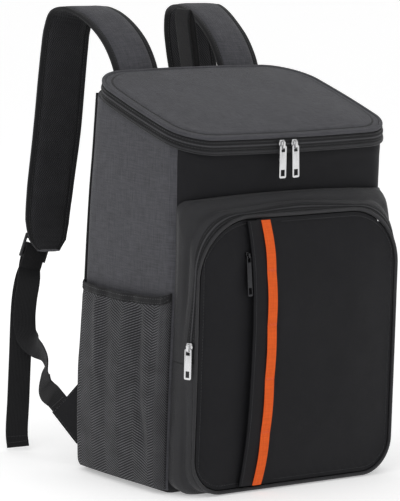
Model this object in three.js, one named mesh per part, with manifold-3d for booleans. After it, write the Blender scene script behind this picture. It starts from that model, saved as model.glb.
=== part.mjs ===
import * as THREE from 'three';
import { mergeVertices } from 'three/addons/utils/BufferGeometryUtils.js';
import Module from 'manifold-3d';

// Cooler backpack with a sloping zipped lid, a front pocket and mesh side pockets.
// Millimetres. X runs to the right seen from the front, Y to the back, Z up.
// The origin is the middle of the base's underside.

// Body
const BODY_WIDTH = 292;
const BODY_DEPTH = 175;
const BACK_HEIGHT = 432.2;
const BODY_CORNER = 30;
const BASE_ROUND = 13;
const WALL = 5;
const BASE_THICKNESS = 7;
const SEAM = 0.3;

// Lid
const LID_WIDTH = 277.6;
const LID_DEPTH = 182;
const LID_FALL = 52.8;
const LID_FORWARD = 9.8;
const LID_BOW = 5;
const LID_DOME = 8;
const LID_THICKNESS = 4;
const LID_CORNER_FRONT = 35;
const LID_CORNER_BACK = 43.4;
const LID_PIPING = 2.2;
const ZIP_HEIGHT = 10;
const ZIP_THICKNESS = 1.8;
const CHAIN_PROUD = 0.9;
const ZIP_PROUD = 1.4;
const RIM_HEIGHT = 4.4;
const RIM_PROUD = 2.8;
const RIM_REACH = 13;

// Front pocket
const POCKET_WIDTH = 268;
const POCKET_DROP = 82.7;
const POCKET_TOP = BACK_HEIGHT - LID_FALL - POCKET_DROP;
const POCKET_BOTTOM = 3;
const POCKET_PROUD_TOP = 32;
const POCKET_PROUD_BOTTOM = 28.3;
const POCKET_CORNER_TOP = 65;
const POCKET_CORNER_BOTTOM = 38;
const POCKET_CROWN = 12;
const POCKET_PADDING = 3.5;
const POCKET_PIPING = 2.1;
const POCKET_SEAM_RISE = 16.3;
const POCKET_SEAM_TOP = POCKET_TOP + POCKET_SEAM_RISE;
const POCKET_SEAM_BOW = 5;
const POCKET_ZIP_END = 144;
const GUSSET_CLOTH = 2;
const GUSSET_PUFF = 3.5;
const POCKET_ZIP_WIDTH = 9;

// Placket, the flap over the upright zip, and the accent strap on it
const PLACKET_X = -55;
const PLACKET_WIDTH = 28;
const PLACKET_THICKNESS = 2.4;
const PLACKET_DIP = 6;
const ACCENT_WIDTH = 11.5;
const ACCENT_THICKNESS = 1.3;
const ACCENT_PITCH = 58;

// Mesh side pockets
const MESH_TOP = 205;
const MESH_PROUD = 13;
const MESH_CLOTH = 1.2;
const HEM_HEIGHT = 8.5;
const HEM_THICKNESS = 2.2;

// Shoulder straps and webbing
const STRAP_WIDTH = 57;
const STRAP_THICKNESS = 7;
const STRAP_SPACING = 134;
const STRAP_REACH = 135;
const STRAP_TOP = 1.15 * BACK_HEIGHT;
const STRAP_SPLAY = 8;
const WEBBING_WIDTH = 25;
const WEBBING_THICKNESS = 1.7;
const BUCKLE_WIDTH = 32;
const BUCKLE_HEIGHT = 27;
const BUCKLE_BAR = 3;
const TAB_THICKNESS = 3;
const TAB_HEIGHT = 69;
const TAB_REACH = 32.5;
const TAB_FOOT = 24;
const TAB_TURN = 116.7;
const HANDLE_WIDTH = 25;
const HANDLE_THICKNESS = 2.2;
const HANDLE_HEIGHT = 69;
const HANDLE_SPREAD = 8;
const HANDLE_LEAN = 9;
const HANDLE_X = 14;

// Zip sliders and pullers
const SLIDER_WIDTH = 8;
const SLIDER_HEIGHT = 10;
const SLIDER_DEPTH = 3;
const BAIL_WIDTH = 2.6;
const PULLER_WIDTH = 9;
const PULLER_LENGTH = 34;
const PULLER_THICKNESS = 1.3;
const SMALL_PULLER_WIDTH = 6;
const SMALL_PULLER_LENGTH = 42;
const LID_SLIDER_SPACING = 16.5;
const LID_SLIDER_X = -14;
const POCKET_SLIDER_RISE = 16;
const POCKET_SLIDER_Z = POCKET_ZIP_END + POCKET_SLIDER_RISE;
const PLACKET_SLIDER = 0.7;
const PLACKET_SLIDER_DROP = 40.7;
const PLACKET_SLIDER_Z = POCKET_TOP - PLACKET_SLIDER_DROP;

// Form of the body by height: shares of the half width, of the half depth and of the corner radius,
// and how far round the front corner, in degrees from the side, its seam lies
const BODY_SECTIONS = [
  { height: 0.0, width: 1.0, front: 1.0, back: 1.0, frontCorner: 0.5, backCorner: 0.62, seam: 45 },
  { height: 0.25, width: 0.988, front: 1.0, back: 1.0, frontCorner: 0.5, backCorner: 0.62, seam: 45 },
  { height: 0.5, width: 0.97, front: 1.0, back: 1.0, frontCorner: 0.52, backCorner: 0.64, seam: 44 },
  { height: 0.7, width: 0.965, front: 1.01, back: 1.0, frontCorner: 0.66, backCorner: 0.85, seam: 40 },
  { height: 0.82, width: 0.965, front: 1.06, back: 1.0, frontCorner: 0.85, backCorner: 1.1, seam: 33 },
  { height: 1.0, width: 0.96, front: 1.12, back: 1.0, frontCorner: 1.0, backCorner: 1.35, seam: 30 },
];

// How far each side swells out between its seams, in shares of the wall, by height
const SIDE_SWELL = [
  { height: 0.0, front: 0, right: 0, back: 0, left: 0 },
  { height: 0.15, front: 0.2, right: 0.5, back: 0.4, left: 0.5 },
  { height: 0.6, front: 0.2, right: 0.8, back: 0.5, left: 0.8 },
  { height: 0.78, front: 0.7, right: 0.7, back: 0.4, left: 0.7 },
  { height: 1.0, front: 0.1, right: 0.1, back: 0.0, left: 0.1 },
];

// Route of the left shoulder strap: shares of the half spacing, of the reach behind the back and of
// the top height, and how far the right strap's width turns to the back
const STRAP_ROUTE = [
  { out: 0.97, reach: 0.032, rise: 0.79, width: 0.92, turn: 0 },
  { out: 0.98, reach: 0.044, rise: 0.832, width: 0.97, turn: 0 },
  { out: 0.99, reach: 0.068, rise: 0.872, width: 1, turn: 0 },
  { out: 1.0, reach: 0.2, rise: 0.925, width: 1, turn: 0 },
  { out: 1.02, reach: 0.38, rise: 0.963, width: 1, turn: 0 },
  { out: 1.06, reach: 0.583, rise: 0.988, width: 1, turn: 0.1 },
  { out: 1.11, reach: 0.76, rise: 0.994, width: 1, turn: 0.3 },
  { out: 1.16, reach: 0.878, rise: 0.978, width: 1, turn: 0.5 },
  { out: 1.2, reach: 0.917, rise: 0.943, width: 1, turn: 0.65 },
  { out: 1.24, reach: 0.917, rise: 0.903, width: 1, turn: 0.7 },
  { out: 1.31, reach: 0.9, rise: 0.838, width: 1, turn: 0.6 },
  { out: 1.46, reach: 0.848, rise: 0.72, width: 1, turn: 0.35 },
  { out: 1.63, reach: 0.815, rise: 0.586, width: 0.96, turn: 0.1 },
  { out: 1.73, reach: 0.775, rise: 0.517, width: 0.9, turn: 0 },
  { out: 1.785, reach: 0.725, rise: 0.478, width: 0.76, turn: 0 },
  { out: 1.815, reach: 0.68, rise: 0.455, width: 0.46, turn: 0 },
];

// Route of the webbing from the tab up to the buckle and down again to its free end: shares of the half
// spacing, of the reach and of the buckle's height, with the webbing's turn about the vertical and its
// tilt in degrees
const RISING_ROUTE = [
  { out: 2.28, reach: 0.35, rise: 0.345, turn: -70, tilt: 48 },
  { out: 2.225, reach: 0.4, rise: 0.4, turn: -95, tilt: 44 },
  { out: 2.19, reach: 0.41, rise: 0.458, turn: -118, tilt: 40 },
  { out: 2.15, reach: 0.507, rise: 0.501, turn: -112, tilt: 34 },
  { out: 2.11, reach: 0.664, rise: 0.521, turn: -85, tilt: 22 },
  { out: 2.075, reach: 0.805, rise: 0.56, turn: -50, tilt: 12 },
  { out: 2.06, reach: 0.845, rise: 0.625, turn: -37, tilt: 2 },
  { out: 2.035, reach: 0.848, rise: 0.722, turn: -37, tilt: 0 },
  { out: 2.0, reach: 0.832, rise: 0.82, turn: -37, tilt: 0 },
];

const TAIL_ROUTE = [
  { out: 1.96, reach: 0.905, rise: 0.82, turn: -37, tilt: 0 },
  { out: 2.03, reach: 0.9, rise: 0.721, turn: -36, tilt: 0 },
  { out: 2.12, reach: 0.86, rise: 0.431, turn: -35, tilt: 0 },
  { out: 2.18, reach: 0.83, rise: 0.238, turn: -34, tilt: 0 },
  { out: 2.24, reach: 0.8, rise: 0.075, turn: -34, tilt: 0 },
  { out: 2.275, reach: 0.75, rise: 0.018, turn: -34, tilt: 0 },
];

const wasm = await Module();
wasm.setup();

// Values between the rows of a table, with rounded changes of slope
function between(rows, key, column, at) {
  const last = rows.length - 1;
  let k = 0;
  while (k < last - 1 && at > rows[k + 1][key]) k += 1;
  const from = rows[k];
  const to = rows[k + 1];
  const span = to[key] - from[key];
  const t = Math.min(1, Math.max(0, (at - from[key]) / span));
  const slope = (i) => {
    const a = rows[Math.max(0, i - 1)];
    const b = rows[Math.min(last, i + 1)];
    return (b[column] - a[column]) / (b[key] - a[key]);
  };
  const t2 = t * t;
  const t3 = t2 * t;
  return from[column] * (2 * t3 - 3 * t2 + 1) + slope(k) * span * (t3 - 2 * t2 + t)
    + to[column] * (3 * t2 - 2 * t3) + slope(k + 1) * span * (t3 - t2);
}

// A closed mesh from points and triangles, turned so that its faces point out
function solid(points, triangles) {
  let volume = 0;
  for (const [a, b, c] of triangles) {
    volume += points[a].dot(new THREE.Vector3().crossVectors(points[b], points[c]));
  }
  const index = [];
  for (const [a, b, c] of triangles) index.push(a, volume > 0 ? b : c, volume > 0 ? c : b);
  const geometry = new THREE.BufferGeometry();
  const coordinates = points.flatMap((p) => [p.x, p.y, p.z]);
  geometry.setAttribute('position', new THREE.Float32BufferAttribute(coordinates, 3));
  geometry.setIndex(index);
  return mergeVertices(geometry, 1e-4);
}

// Loops of the same number of points joined in a row. An open row is capped at both ends
function loft(loops, { closed = false, section = null } = {}) {
  const count = loops[0].length;
  const points = loops.flat();
  const triangles = [];
  const rows = closed ? loops.length : loops.length - 1;
  for (let i = 0; i < rows; i += 1) {
    const next = (i + 1) % loops.length;
    for (let j = 0; j < count; j += 1) {
      const k = (j + 1) % count;
      triangles.push([i * count + j, next * count + j, next * count + k]);
      triangles.push([i * count + j, next * count + k, i * count + k]);
    }
  }
  if (!closed) {
    const flat = (section ?? ring(count, 1)).map((p) => new THREE.Vector2(p.x, p.y));
    const end = (loops.length - 1) * count;
    const turned = THREE.ShapeUtils.isClockWise(flat);
    for (const [a, b, c] of THREE.ShapeUtils.triangulateShape(flat, [])) {
      const cap = turned ? [a, b, c] : [c, b, a];
      triangles.push([cap[2], cap[1], cap[0]], cap.map((v) => end + v));
    }
  }
  return solid(points, triangles);
}

function ring(count, radius) {
  return Array.from({ length: count }, (_, k) => {
    const angle = (2 * Math.PI * k) / count;
    return new THREE.Vector2(radius * Math.cos(angle), radius * Math.sin(angle));
  });
}

// A cloth or padded wall between two grids of points, outer[i][j] and inner[i][j]
function wall(outer, inner) {
  const rows = outer.length;
  const columns = outer[0].length;
  const points = [...outer.flat(), ...inner.flat()];
  const offset = rows * columns;
  const at = (i, j) => i * columns + j;
  const triangles = [];
  const quad = (a, b, c, d) => triangles.push([a, b, c], [a, c, d]);
  for (let i = 0; i < rows - 1; i += 1) {
    for (let j = 0; j < columns - 1; j += 1) {
      quad(at(i, j), at(i, j + 1), at(i + 1, j + 1), at(i + 1, j));
      quad(offset + at(i, j), offset + at(i + 1, j), offset + at(i + 1, j + 1), offset + at(i, j + 1));
    }
  }
  const border = [];
  for (let j = 0; j < columns; j += 1) border.push(at(0, j));
  for (let i = 1; i < rows; i += 1) border.push(at(i, columns - 1));
  for (let j = columns - 2; j >= 0; j -= 1) border.push(at(rows - 1, j));
  for (let i = rows - 2; i > 0; i -= 1) border.push(at(i, 0));
  border.forEach((a, k) => {
    const b = border[(k + 1) % border.length];
    quad(b, a, offset + a, offset + b);
  });
  return solid(points, triangles);
}

// Geometry with only its points and faces, shared where they meet
function plainGeometry(geometry) {
  const plain = geometry.clone();
  plain.deleteAttribute('normal');
  plain.deleteAttribute('uv');
  return mergeVertices(plain, 1e-4);
}

function manifoldOf(geometry) {
  const plain = plainGeometry(geometry);
  return new wasm.Manifold(new wasm.Mesh({
    numProp: 3,
    vertProperties: new Float32Array(plain.attributes.position.array),
    triVerts: new Uint32Array(plain.index.array),
  }));
}

function geometryOf(manifold) {
  const mesh = manifold.getMesh();
  const geometry = new THREE.BufferGeometry();
  geometry.setAttribute('position', new THREE.BufferAttribute(new Float32Array(mesh.vertProperties), 3));
  geometry.setIndex(new THREE.BufferAttribute(new Uint32Array(mesh.triVerts), 1));
  return geometry;
}

// Body

function lidPlane(y) {
  const backEdge = LID_DEPTH / 2 - LID_FORWARD;
  return BACK_HEIGHT - (LID_FALL / LID_DEPTH) * (backEdge - y);
}

const WALL_TOP = LID_PIPING + SEAM + ZIP_HEIGHT + SEAM + RIM_HEIGHT + SEAM;
const WALL_BOTTOM = 3;

function bodySection(z) {
  const value = (column) => between(BODY_SECTIONS, 'height', column, z / BACK_HEIGHT);
  return {
    halfWidth: (value('width') * BODY_WIDTH) / 2,
    front: (-value('front') * BODY_DEPTH) / 2,
    back: (value('back') * BODY_DEPTH) / 2,
    frontCorner: value('frontCorner') * BODY_CORNER,
    backCorner: value('backCorner') * BODY_CORNER,
    seam: value('seam'),
  };
}

// How far the body's lower edge is drawn in at a height
function baseInset(z) {
  const below = Math.max(0, BASE_ROUND - z);
  return BASE_ROUND - Math.sqrt(BASE_ROUND ** 2 - below ** 2);
}

const SIDES = {
  front: { facing: -90, columns: 8 },
  right: { facing: 0, columns: 5 },
  back: { facing: 90, columns: 8 },
  left: { facing: 180, columns: 5 },
};
const CORNER_COLUMNS = 2;

// Points of one side at a height, from seam to seam, each with the direction that it faces
function sidePoints(side, z, gap = SEAM / 2) {
  const section = bodySection(z);
  const { facing, columns } = SIDES[side];
  const corner = (sx, sy) => {
    const radius = sy < 0 ? section.frontCorner : section.backCorner;
    const edge = sy < 0 ? section.front : section.back;
    return { x: sx * (section.halfWidth - radius), y: edge - sy * radius, radius };
  };
  const ends = {
    front: [corner(-1, -1), corner(1, -1)],
    right: [corner(1, -1), corner(1, 1)],
    back: [corner(1, 1), corner(-1, 1)],
    left: [corner(-1, 1), corner(-1, -1)],
  }[side];
  const points = [];
  const push = (centre, degrees) => {
    const angle = (degrees * Math.PI) / 180;
    const nx = Math.cos(angle);
    const ny = Math.sin(angle);
    points.push({ x: centre.x + nx * centre.radius, y: centre.y + ny * centre.radius, nx, ny });
  };
  const [start, end] = ends;
  const spare = (centre) => (gap / (centre.radius - WALL)) * (180 / Math.PI);
  const turns = {
    front: [90 - section.seam, 90 - section.seam],
    right: [section.seam, 45],
    back: [45, 45],
    left: [45, section.seam],
  }[side];
  for (let k = 0; k <= CORNER_COLUMNS; k += 1) {
    const from = -turns[0] + spare(start);
    push(start, facing + from * (1 - k / CORNER_COLUMNS));
  }
  const first = points[points.length - 1];
  const angle = (facing * Math.PI) / 180;
  const stop = { x: end.x + Math.cos(angle) * end.radius, y: end.y + Math.sin(angle) * end.radius };
  for (let k = 1; k < columns; k += 1) {
    const t = k / columns;
    const x = first.x + (stop.x - first.x) * t;
    const y = first.y + (stop.y - first.y) * t;
    points.push({ x, y, nx: first.nx, ny: first.ny });
  }
  for (let k = 0; k <= CORNER_COLUMNS; k += 1) {
    const to = turns[1] - spare(end);
    push(end, facing + to * (k / CORNER_COLUMNS));
  }
  let run = 0;
  points.forEach((p, k) => {
    if (k > 0) run += Math.hypot(p.x - points[k - 1].x, p.y - points[k - 1].y);
    p.run = run;
  });
  points.forEach((p) => { p.share = p.run / run; });
  return points;
}

function swell(side, share, z) {
  return WALL * between(SIDE_SWELL, 'height', side, z / BACK_HEIGHT) * Math.sin(Math.PI * share);
}

// A point of a side's outer face, moved out by a distance
function sidePoint(side, column, z, out = 0) {
  const p = sidePoints(side, z)[column];
  const move = swell(side, p.share, z) - baseInset(z) + out;
  return new THREE.Vector3(p.x + p.nx * move, p.y + p.ny * move, z);
}

// Where the wall ends under the rim at a column, at a distance out from the outer face
function sideTop(side, column, out = 0) {
  let z = BACK_HEIGHT;
  for (let k = 0; k < 4; k += 1) z = lidPlane(sidePoint(side, column, z, out).y) - WALL_TOP;
  return z;
}

const WALL_ROWS = 7;

function bodyPanel(side) {
  const columns = sidePoints(side, 0).length;
  const outer = [];
  const inner = [];
  const low = [WALL_BOTTOM, 5.5, 9, BASE_ROUND];
  for (let i = 0; i < low.length + WALL_ROWS; i += 1) {
    const rowOut = [];
    const rowIn = [];
    for (let j = 0; j < columns; j += 1) {
      const share = (i - low.length + 1) / WALL_ROWS;
      const above = (out) => BASE_ROUND + (sideTop(side, j, out) - BASE_ROUND) * share;
      const level = (out) => (i < low.length ? low[i] : above(out));
      rowOut.push(sidePoint(side, j, level(0)));
      rowIn.push(sidePoint(side, j, level(-WALL), -WALL));
    }
    outer.push(rowOut);
    inner.push(rowIn);
  }
  return wall(outer, inner);
}

// The whole outline of the body at a height, drawn in by a distance
function bodyOutline(z, inset, level) {
  return Object.keys(SIDES).flatMap((side) => sidePoints(side, z, 0).slice(1)
    .map((p) => new THREE.Vector3(p.x - p.nx * inset, p.y - p.ny * inset, level)));
}

function basePanel() {
  const ledge = WALL_BOTTOM - SEAM;
  const under = baseInset(0) * 0.7;
  const plug = baseInset(WALL_BOTTOM) + WALL + SEAM;
  return loft([
    bodyOutline(0, under, 0),
    bodyOutline(0, baseInset(WALL_BOTTOM) + SEAM, ledge),
    bodyOutline(0, plug, ledge),
    bodyOutline(0, plug, BASE_THICKNESS),
  ]);
}

const BACK_PIPING = 1.5;

function backPiping(side) {
  const column = side === 'left' ? 0 : sidePoints('right', 0).length - 1;
  const loops = [];
  const steps = 12;
  const top = sideTop(side, column) - 1;
  for (let i = 0; i <= steps; i += 1) {
    const z = BASE_ROUND + ((top - BASE_ROUND) * i) / steps;
    const centre = sidePoint(side, column, z, BACK_PIPING + SEAM);
    loops.push(ring(6, BACK_PIPING).map((p) => new THREE.Vector3(centre.x + p.x, centre.y + p.y, z)));
  }
  return loft(loops);
}

// Lid

const LID_CORNER_STEPS = 5;
const LID_LONG_STEPS = 6;
const LID_SHORT_STEPS = 4;

// The lid's outline from its back left corner round by the left, front and right, then along the back
function lidOutline() {
  const a = LID_WIDTH / 2;
  const b = LID_DEPTH / 2;
  const corners = [
    { x: -a, y: b, radius: LID_CORNER_BACK, start: 90, steps: LID_SHORT_STEPS },
    { x: -a, y: -b, radius: LID_CORNER_FRONT, start: 180, steps: LID_LONG_STEPS },
    { x: a, y: -b, radius: LID_CORNER_FRONT, start: 270, steps: LID_SHORT_STEPS },
    { x: a, y: b, radius: LID_CORNER_BACK, start: 0, steps: LID_LONG_STEPS },
  ];
  const arc = (c, k) => {
    const angle = ((c.start + (90 * k) / LID_CORNER_STEPS) * Math.PI) / 180;
    return new THREE.Vector2(
      c.x - Math.sign(c.x) * c.radius + c.radius * Math.cos(angle),
      c.y - Math.sign(c.y) * c.radius + c.radius * Math.sin(angle),
    );
  };
  const points = [];
  corners.forEach((c, i) => {
    for (let k = 0; k <= LID_CORNER_STEPS; k += 1) points.push(arc(c, k));
    const from = points[points.length - 1];
    const to = arc(corners[(i + 1) % corners.length], 0);
    for (let k = 1; k < c.steps; k += 1) points.push(from.clone().lerp(to, k / c.steps));
  });
  const bowed = points.map((p) => new THREE.Vector2(
    p.x * (1 + (LID_BOW / a) * (1 - (p.y / b) ** 2)),
    p.y * (1 + (LID_BOW / b) * (1 - (p.x / a) ** 2)) - LID_FORWARD,
  ));
  return bowed.map((p, k) => {
    const before = bowed[(k + bowed.length - 1) % bowed.length];
    const after = bowed[(k + 1) % bowed.length];
    const along = after.clone().sub(before).normalize();
    return { x: p.x, y: p.y, nx: along.y, ny: -along.x };
  });
}

const LID_OUTLINE = lidOutline();
const HINGE_START = LID_OUTLINE.length - LID_LONG_STEPS;

// A band round the lid's outline: section x is the distance out, section y the height over the lid's plane
function lidBand(outline, section, closed) {
  const loops = outline.map((p) => section.map((s) => {
    const y = p.y + p.ny * s.x;
    return new THREE.Vector3(p.x + p.nx * s.x, y, lidPlane(y) + s.y);
  }));
  return loft(loops, { closed, section });
}

function lidPiping() {
  return lidBand(LID_OUTLINE, ring(6, LID_PIPING).map((p) => new THREE.Vector2(p.x - 0.5, p.y)), true);
}

const ZIP_TOP = -LID_PIPING - SEAM;

function zipSection() {
  const face = ZIP_PROUD;
  const chain = ZIP_HEIGHT * 0.26;
  const middle = ZIP_TOP - ZIP_HEIGHT / 2;
  return [
    [face - ZIP_THICKNESS, ZIP_TOP],
    [face - ZIP_THICKNESS, ZIP_TOP - ZIP_HEIGHT],
    [face, ZIP_TOP - ZIP_HEIGHT],
    [face, middle - chain / 2 - 0.5],
    [face + CHAIN_PROUD, middle - chain / 2],
    [face + CHAIN_PROUD, middle + chain / 2],
    [face, middle + chain / 2 + 0.5],
    [face, ZIP_TOP],
  ].map(([x, y]) => new THREE.Vector2(x, y));
}

function lidZip() {
  return lidBand(LID_OUTLINE.slice(0, HINGE_START + 1), zipSection(), false);
}

function lidHinge() {
  const face = ZIP_PROUD;
  const section = [
    [face - ZIP_THICKNESS, ZIP_TOP],
    [face - ZIP_THICKNESS, ZIP_TOP - ZIP_HEIGHT],
    [face, ZIP_TOP - ZIP_HEIGHT],
    [face, ZIP_TOP],
  ].map(([x, y]) => new THREE.Vector2(x, y));
  const back = [...LID_OUTLINE.slice(HINGE_START), LID_OUTLINE[0]];
  const inset = (p, dx) => ({ ...p, x: p.x + dx });
  const path = back.map((p, k) => (k === 0 ? inset(p, -SEAM) : k === back.length - 1 ? inset(p, SEAM) : p));
  return lidBand(path, section, false);
}

function bodyRim() {
  const top = ZIP_TOP - ZIP_HEIGHT - SEAM;
  const low = top - RIM_HEIGHT;
  const section = [
    [RIM_PROUD - 1.5, top],
    [RIM_PROUD, top - RIM_HEIGHT * 0.3],
    [RIM_PROUD, top - RIM_HEIGHT * 0.7],
    [RIM_PROUD - 1.5, low],
    [-RIM_REACH, low],
    [-RIM_REACH, top],
  ].map(([x, y]) => new THREE.Vector2(x, y));
  return lidBand(LID_OUTLINE, section, true);
}

function lidPanel() {
  const edge = LID_PIPING + 0.5 + SEAM;
  const ringAt = (share, under) => LID_OUTLINE.map((p) => {
    const x = (p.x - p.nx * edge) * share;
    const y = (p.y - p.ny * edge + LID_FORWARD) * share - LID_FORWARD;
    const dome = LID_DOME * (1 - share ** 2.6);
    return new THREE.Vector3(x, y, lidPlane(y) + LID_PIPING * 0.4 + dome - under);
  });
  const top = [0.03, 0.35, 0.62, 0.82, 0.94, 1].map((share) => ringAt(share, 0));
  const bottom = [1, 0.8, 0.4].map((share) => ringAt(share, LID_THICKNESS));
  return loft([...top, ...bottom]);
}

// Front pocket

const SIDE_STEPS = 4;
const END_STEPS = 5;
const ROUND_STEPS = 6;

// A rounded outline on the bag's front, from the middle of the bottom to the right and round
function frontOutline({ halfWidth, bottom, top, cornerBottom, cornerTop }) {
  const points = [];
  const arc = (sx, z, radius, start) => {
    for (let k = 0; k <= ROUND_STEPS; k += 1) {
      const angle = ((start + (90 * k) / ROUND_STEPS) * Math.PI) / 180;
      const x = sx * (halfWidth - radius) + radius * Math.cos(angle);
      points.push(new THREE.Vector2(x, z + radius * Math.sin(angle)));
    }
  };
  const line = (to, steps) => {
    const from = points[points.length - 1];
    for (let k = 1; k < steps; k += 1) points.push(from.clone().lerp(to, k / steps));
  };
  const rise = (x, z) => {
    const to = new THREE.Vector2(x, z);
    line(to, SIDE_STEPS / 2);
    points.push(to);
  };
  arc(1, bottom + cornerBottom, cornerBottom, 270);
  rise(halfWidth, POCKET_ZIP_END);
  rise(halfWidth, top - cornerTop);
  points.pop();
  arc(1, top - cornerTop, cornerTop, 0);
  line(new THREE.Vector2(-halfWidth + cornerTop, top), END_STEPS);
  arc(-1, top - cornerTop, cornerTop, 90);
  rise(-halfWidth, POCKET_ZIP_END);
  rise(-halfWidth, bottom + cornerBottom);
  points.pop();
  arc(-1, bottom + cornerBottom, cornerBottom, 180);
  line(new THREE.Vector2(halfWidth - cornerBottom, bottom), END_STEPS);
  return points;
}

// Where the outline passes the seam that ends the pocket's zip
const SEAM_RIGHT = ROUND_STEPS + SIDE_STEPS / 2;
const SEAM_LEFT = SEAM_RIGHT + 2 * (SIDE_STEPS / 2) + 2 * ROUND_STEPS + END_STEPS;

function pocketPlane(z) {
  const share = (z - POCKET_BOTTOM) / (POCKET_TOP - POCKET_BOTTOM);
  const proud = POCKET_PROUD_BOTTOM + (POCKET_PROUD_TOP - POCKET_PROUD_BOTTOM) * share;
  return -BODY_DEPTH / 2 - proud;
}

// A point on the body's front or its front corner, moved out by a distance
function frontPoint(x, z, out) {
  const s = bodySection(z);
  const over = Math.abs(x) - (s.halfWidth - s.frontCorner);
  const share = 0.5 + x / (2 * s.halfWidth);
  if (over <= 0) {
    const y = s.front - swell('front', share, z) + baseInset(z) - out;
    return new THREE.Vector3(x, y, z);
  }
  const sine = Math.min(0.999, over / s.frontCorner);
  const cosine = Math.sqrt(1 - sine ** 2);
  const radius = s.frontCorner - baseInset(z) + out + swell('front', share, z);
  const sx = Math.sign(x);
  return new THREE.Vector3(
    sx * (s.halfWidth - s.frontCorner + radius * sine),
    s.front + s.frontCorner - radius * cosine,
    z,
  );
}

// The gusset's path: for each point of the outlines, its seam on the body and its edge at the pocket's front
function gussetPath() {
  const pocket = frontOutline({
    halfWidth: POCKET_WIDTH / 2,
    bottom: POCKET_BOTTOM,
    top: POCKET_TOP,
    cornerBottom: POCKET_CORNER_BOTTOM,
    cornerTop: POCKET_CORNER_TOP,
  });
  const body = frontOutline({
    halfWidth: BODY_WIDTH / 2,
    bottom: WALL_BOTTOM + 1,
    top: POCKET_SEAM_TOP,
    cornerBottom: BODY_CORNER * 0.5,
    cornerTop: BODY_CORNER * 0.3,
  });
  return pocket.map((p, k) => {
    const seam = body[k];
    if (seam.y > POCKET_SEAM_TOP - 1) seam.y += POCKET_SEAM_BOW * (1 - ((2 * seam.x) / BODY_WIDTH) ** 2);
    const s = bodySection(seam.y);
    const reach = s.halfWidth - s.frontCorner * (1 - Math.cos((s.seam * Math.PI) / 180));
    const x = (seam.x * reach) / (BODY_WIDTH / 2);
    const from = frontPoint(x, seam.y, SEAM + GUSSET_CLOTH);
    const to = new THREE.Vector3(p.x, pocketPlane(p.y), p.y);
    const centre = new THREE.Vector3(0, 0, (POCKET_TOP + POCKET_BOTTOM) / 2);
    const radial = new THREE.Vector3(to.x, 0, to.z - centre.z).normalize();
    const along = to.clone().sub(from).normalize();
    const out = radial.clone().addScaledVector(along, -radial.dot(along)).normalize();
    return { from, to, along, out, length: to.distanceTo(from) };
  });
}

const GUSSET_PATH = gussetPath();

function gussetPoint(p, distance, out, puff) {
  const t = distance / p.length;
  const rise = out + puff * Math.sin(Math.PI * t);
  return p.from.clone().addScaledVector(p.along, distance).addScaledVector(p.out, rise);
}

function gusset(path, end, puff) {
  const steps = 4;
  const grid = (out) => path.map((p) => Array.from({ length: steps + 1 }, (_, k) => (
    gussetPoint(p, ((p.length - end) * k) / steps, out, puff))));
  return wall(grid(0), grid(-GUSSET_CLOTH));
}

const ZIP_EDGE = POCKET_PIPING + SEAM;
const GUSSET_EDGE = ZIP_EDGE + POCKET_ZIP_WIDTH + SEAM;

function upperGusset() {
  return gusset(GUSSET_PATH.slice(SEAM_RIGHT, SEAM_LEFT + 1), GUSSET_EDGE, GUSSET_PUFF);
}

function lowerGusset() {
  const low = [...GUSSET_PATH.slice(SEAM_LEFT), ...GUSSET_PATH.slice(0, SEAM_RIGHT + 1)];
  const first = low[0];
  const last = low[low.length - 1];
  const lowered = (p) => {
    const drop = new THREE.Vector3(0, 0, -2 * SEAM);
    return { ...p, from: p.from.clone().add(drop), to: p.to.clone().add(drop) };
  };
  const path = low.map((p) => (p === first || p === last ? lowered(p) : p));
  return gusset(path, ZIP_EDGE, GUSSET_PUFF);
}

function pocketZip() {
  const path = GUSSET_PATH.slice(SEAM_RIGHT, SEAM_LEFT + 1);
  const chain = POCKET_ZIP_WIDTH * 0.34;
  const middle = POCKET_ZIP_WIDTH / 2;
  const section = [
    [0, -ZIP_THICKNESS],
    [POCKET_ZIP_WIDTH, -ZIP_THICKNESS],
    [POCKET_ZIP_WIDTH, 0],
    [middle + chain / 2, CHAIN_PROUD * 0.6],
    [middle - chain / 2, CHAIN_PROUD * 0.6],
    [0, 0],
  ].map(([x, y]) => new THREE.Vector2(x, y));
  const along = (p, s) => gussetPoint(p, p.length - ZIP_EDGE - s.x, s.y, GUSSET_PUFF);
  const loops = path.map((p) => section.map((s) => along(p, s)));
  return loft(loops, { section });
}

function pocketPiping() {
  const loops = GUSSET_PATH.map((p) => ring(6, POCKET_PIPING).map((q) => (
    p.to.clone().addScaledVector(p.along, q.x).addScaledVector(p.out, q.y))));
  return loft(loops, { closed: true });
}

const PANEL_INSET = POCKET_PIPING + SEAM + 0.7;

// Lower or upper edge of the pocket's front panel at x
function panelEdge(x, upper) {
  const half = POCKET_WIDTH / 2;
  const corner = upper ? POCKET_CORNER_TOP : POCKET_CORNER_BOTTOM;
  const over = Math.max(0, Math.abs(x) - (half - corner));
  const rise = corner - Math.sqrt(Math.max(0, (corner - PANEL_INSET) ** 2 - over ** 2));
  return upper ? POCKET_TOP - rise : POCKET_BOTTOM + rise;
}

// Front face of the pocket, crowned between its edges
function pocketFace(x, z) {
  const half = POCKET_WIDTH / 2 - PANEL_INSET;
  const low = panelEdge(x, false);
  const high = panelEdge(x, true);
  const across = Math.min(1, Math.abs(x) / half);
  const up = Math.min(1, Math.abs((2 * (z - low)) / (high - low) - 1));
  return pocketPlane(z) - POCKET_CROWN * (1 - across ** 3.2) * (1 - up ** 3.2);
}

// The panel left of the placket dips towards the zip
function leftDip(x) {
  const reach = PLACKET_X - x;
  return PLACKET_DIP * Math.exp(-((Math.max(0, reach - 6) / 26) ** 2));
}

const PANEL_ROWS = 9;

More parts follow.
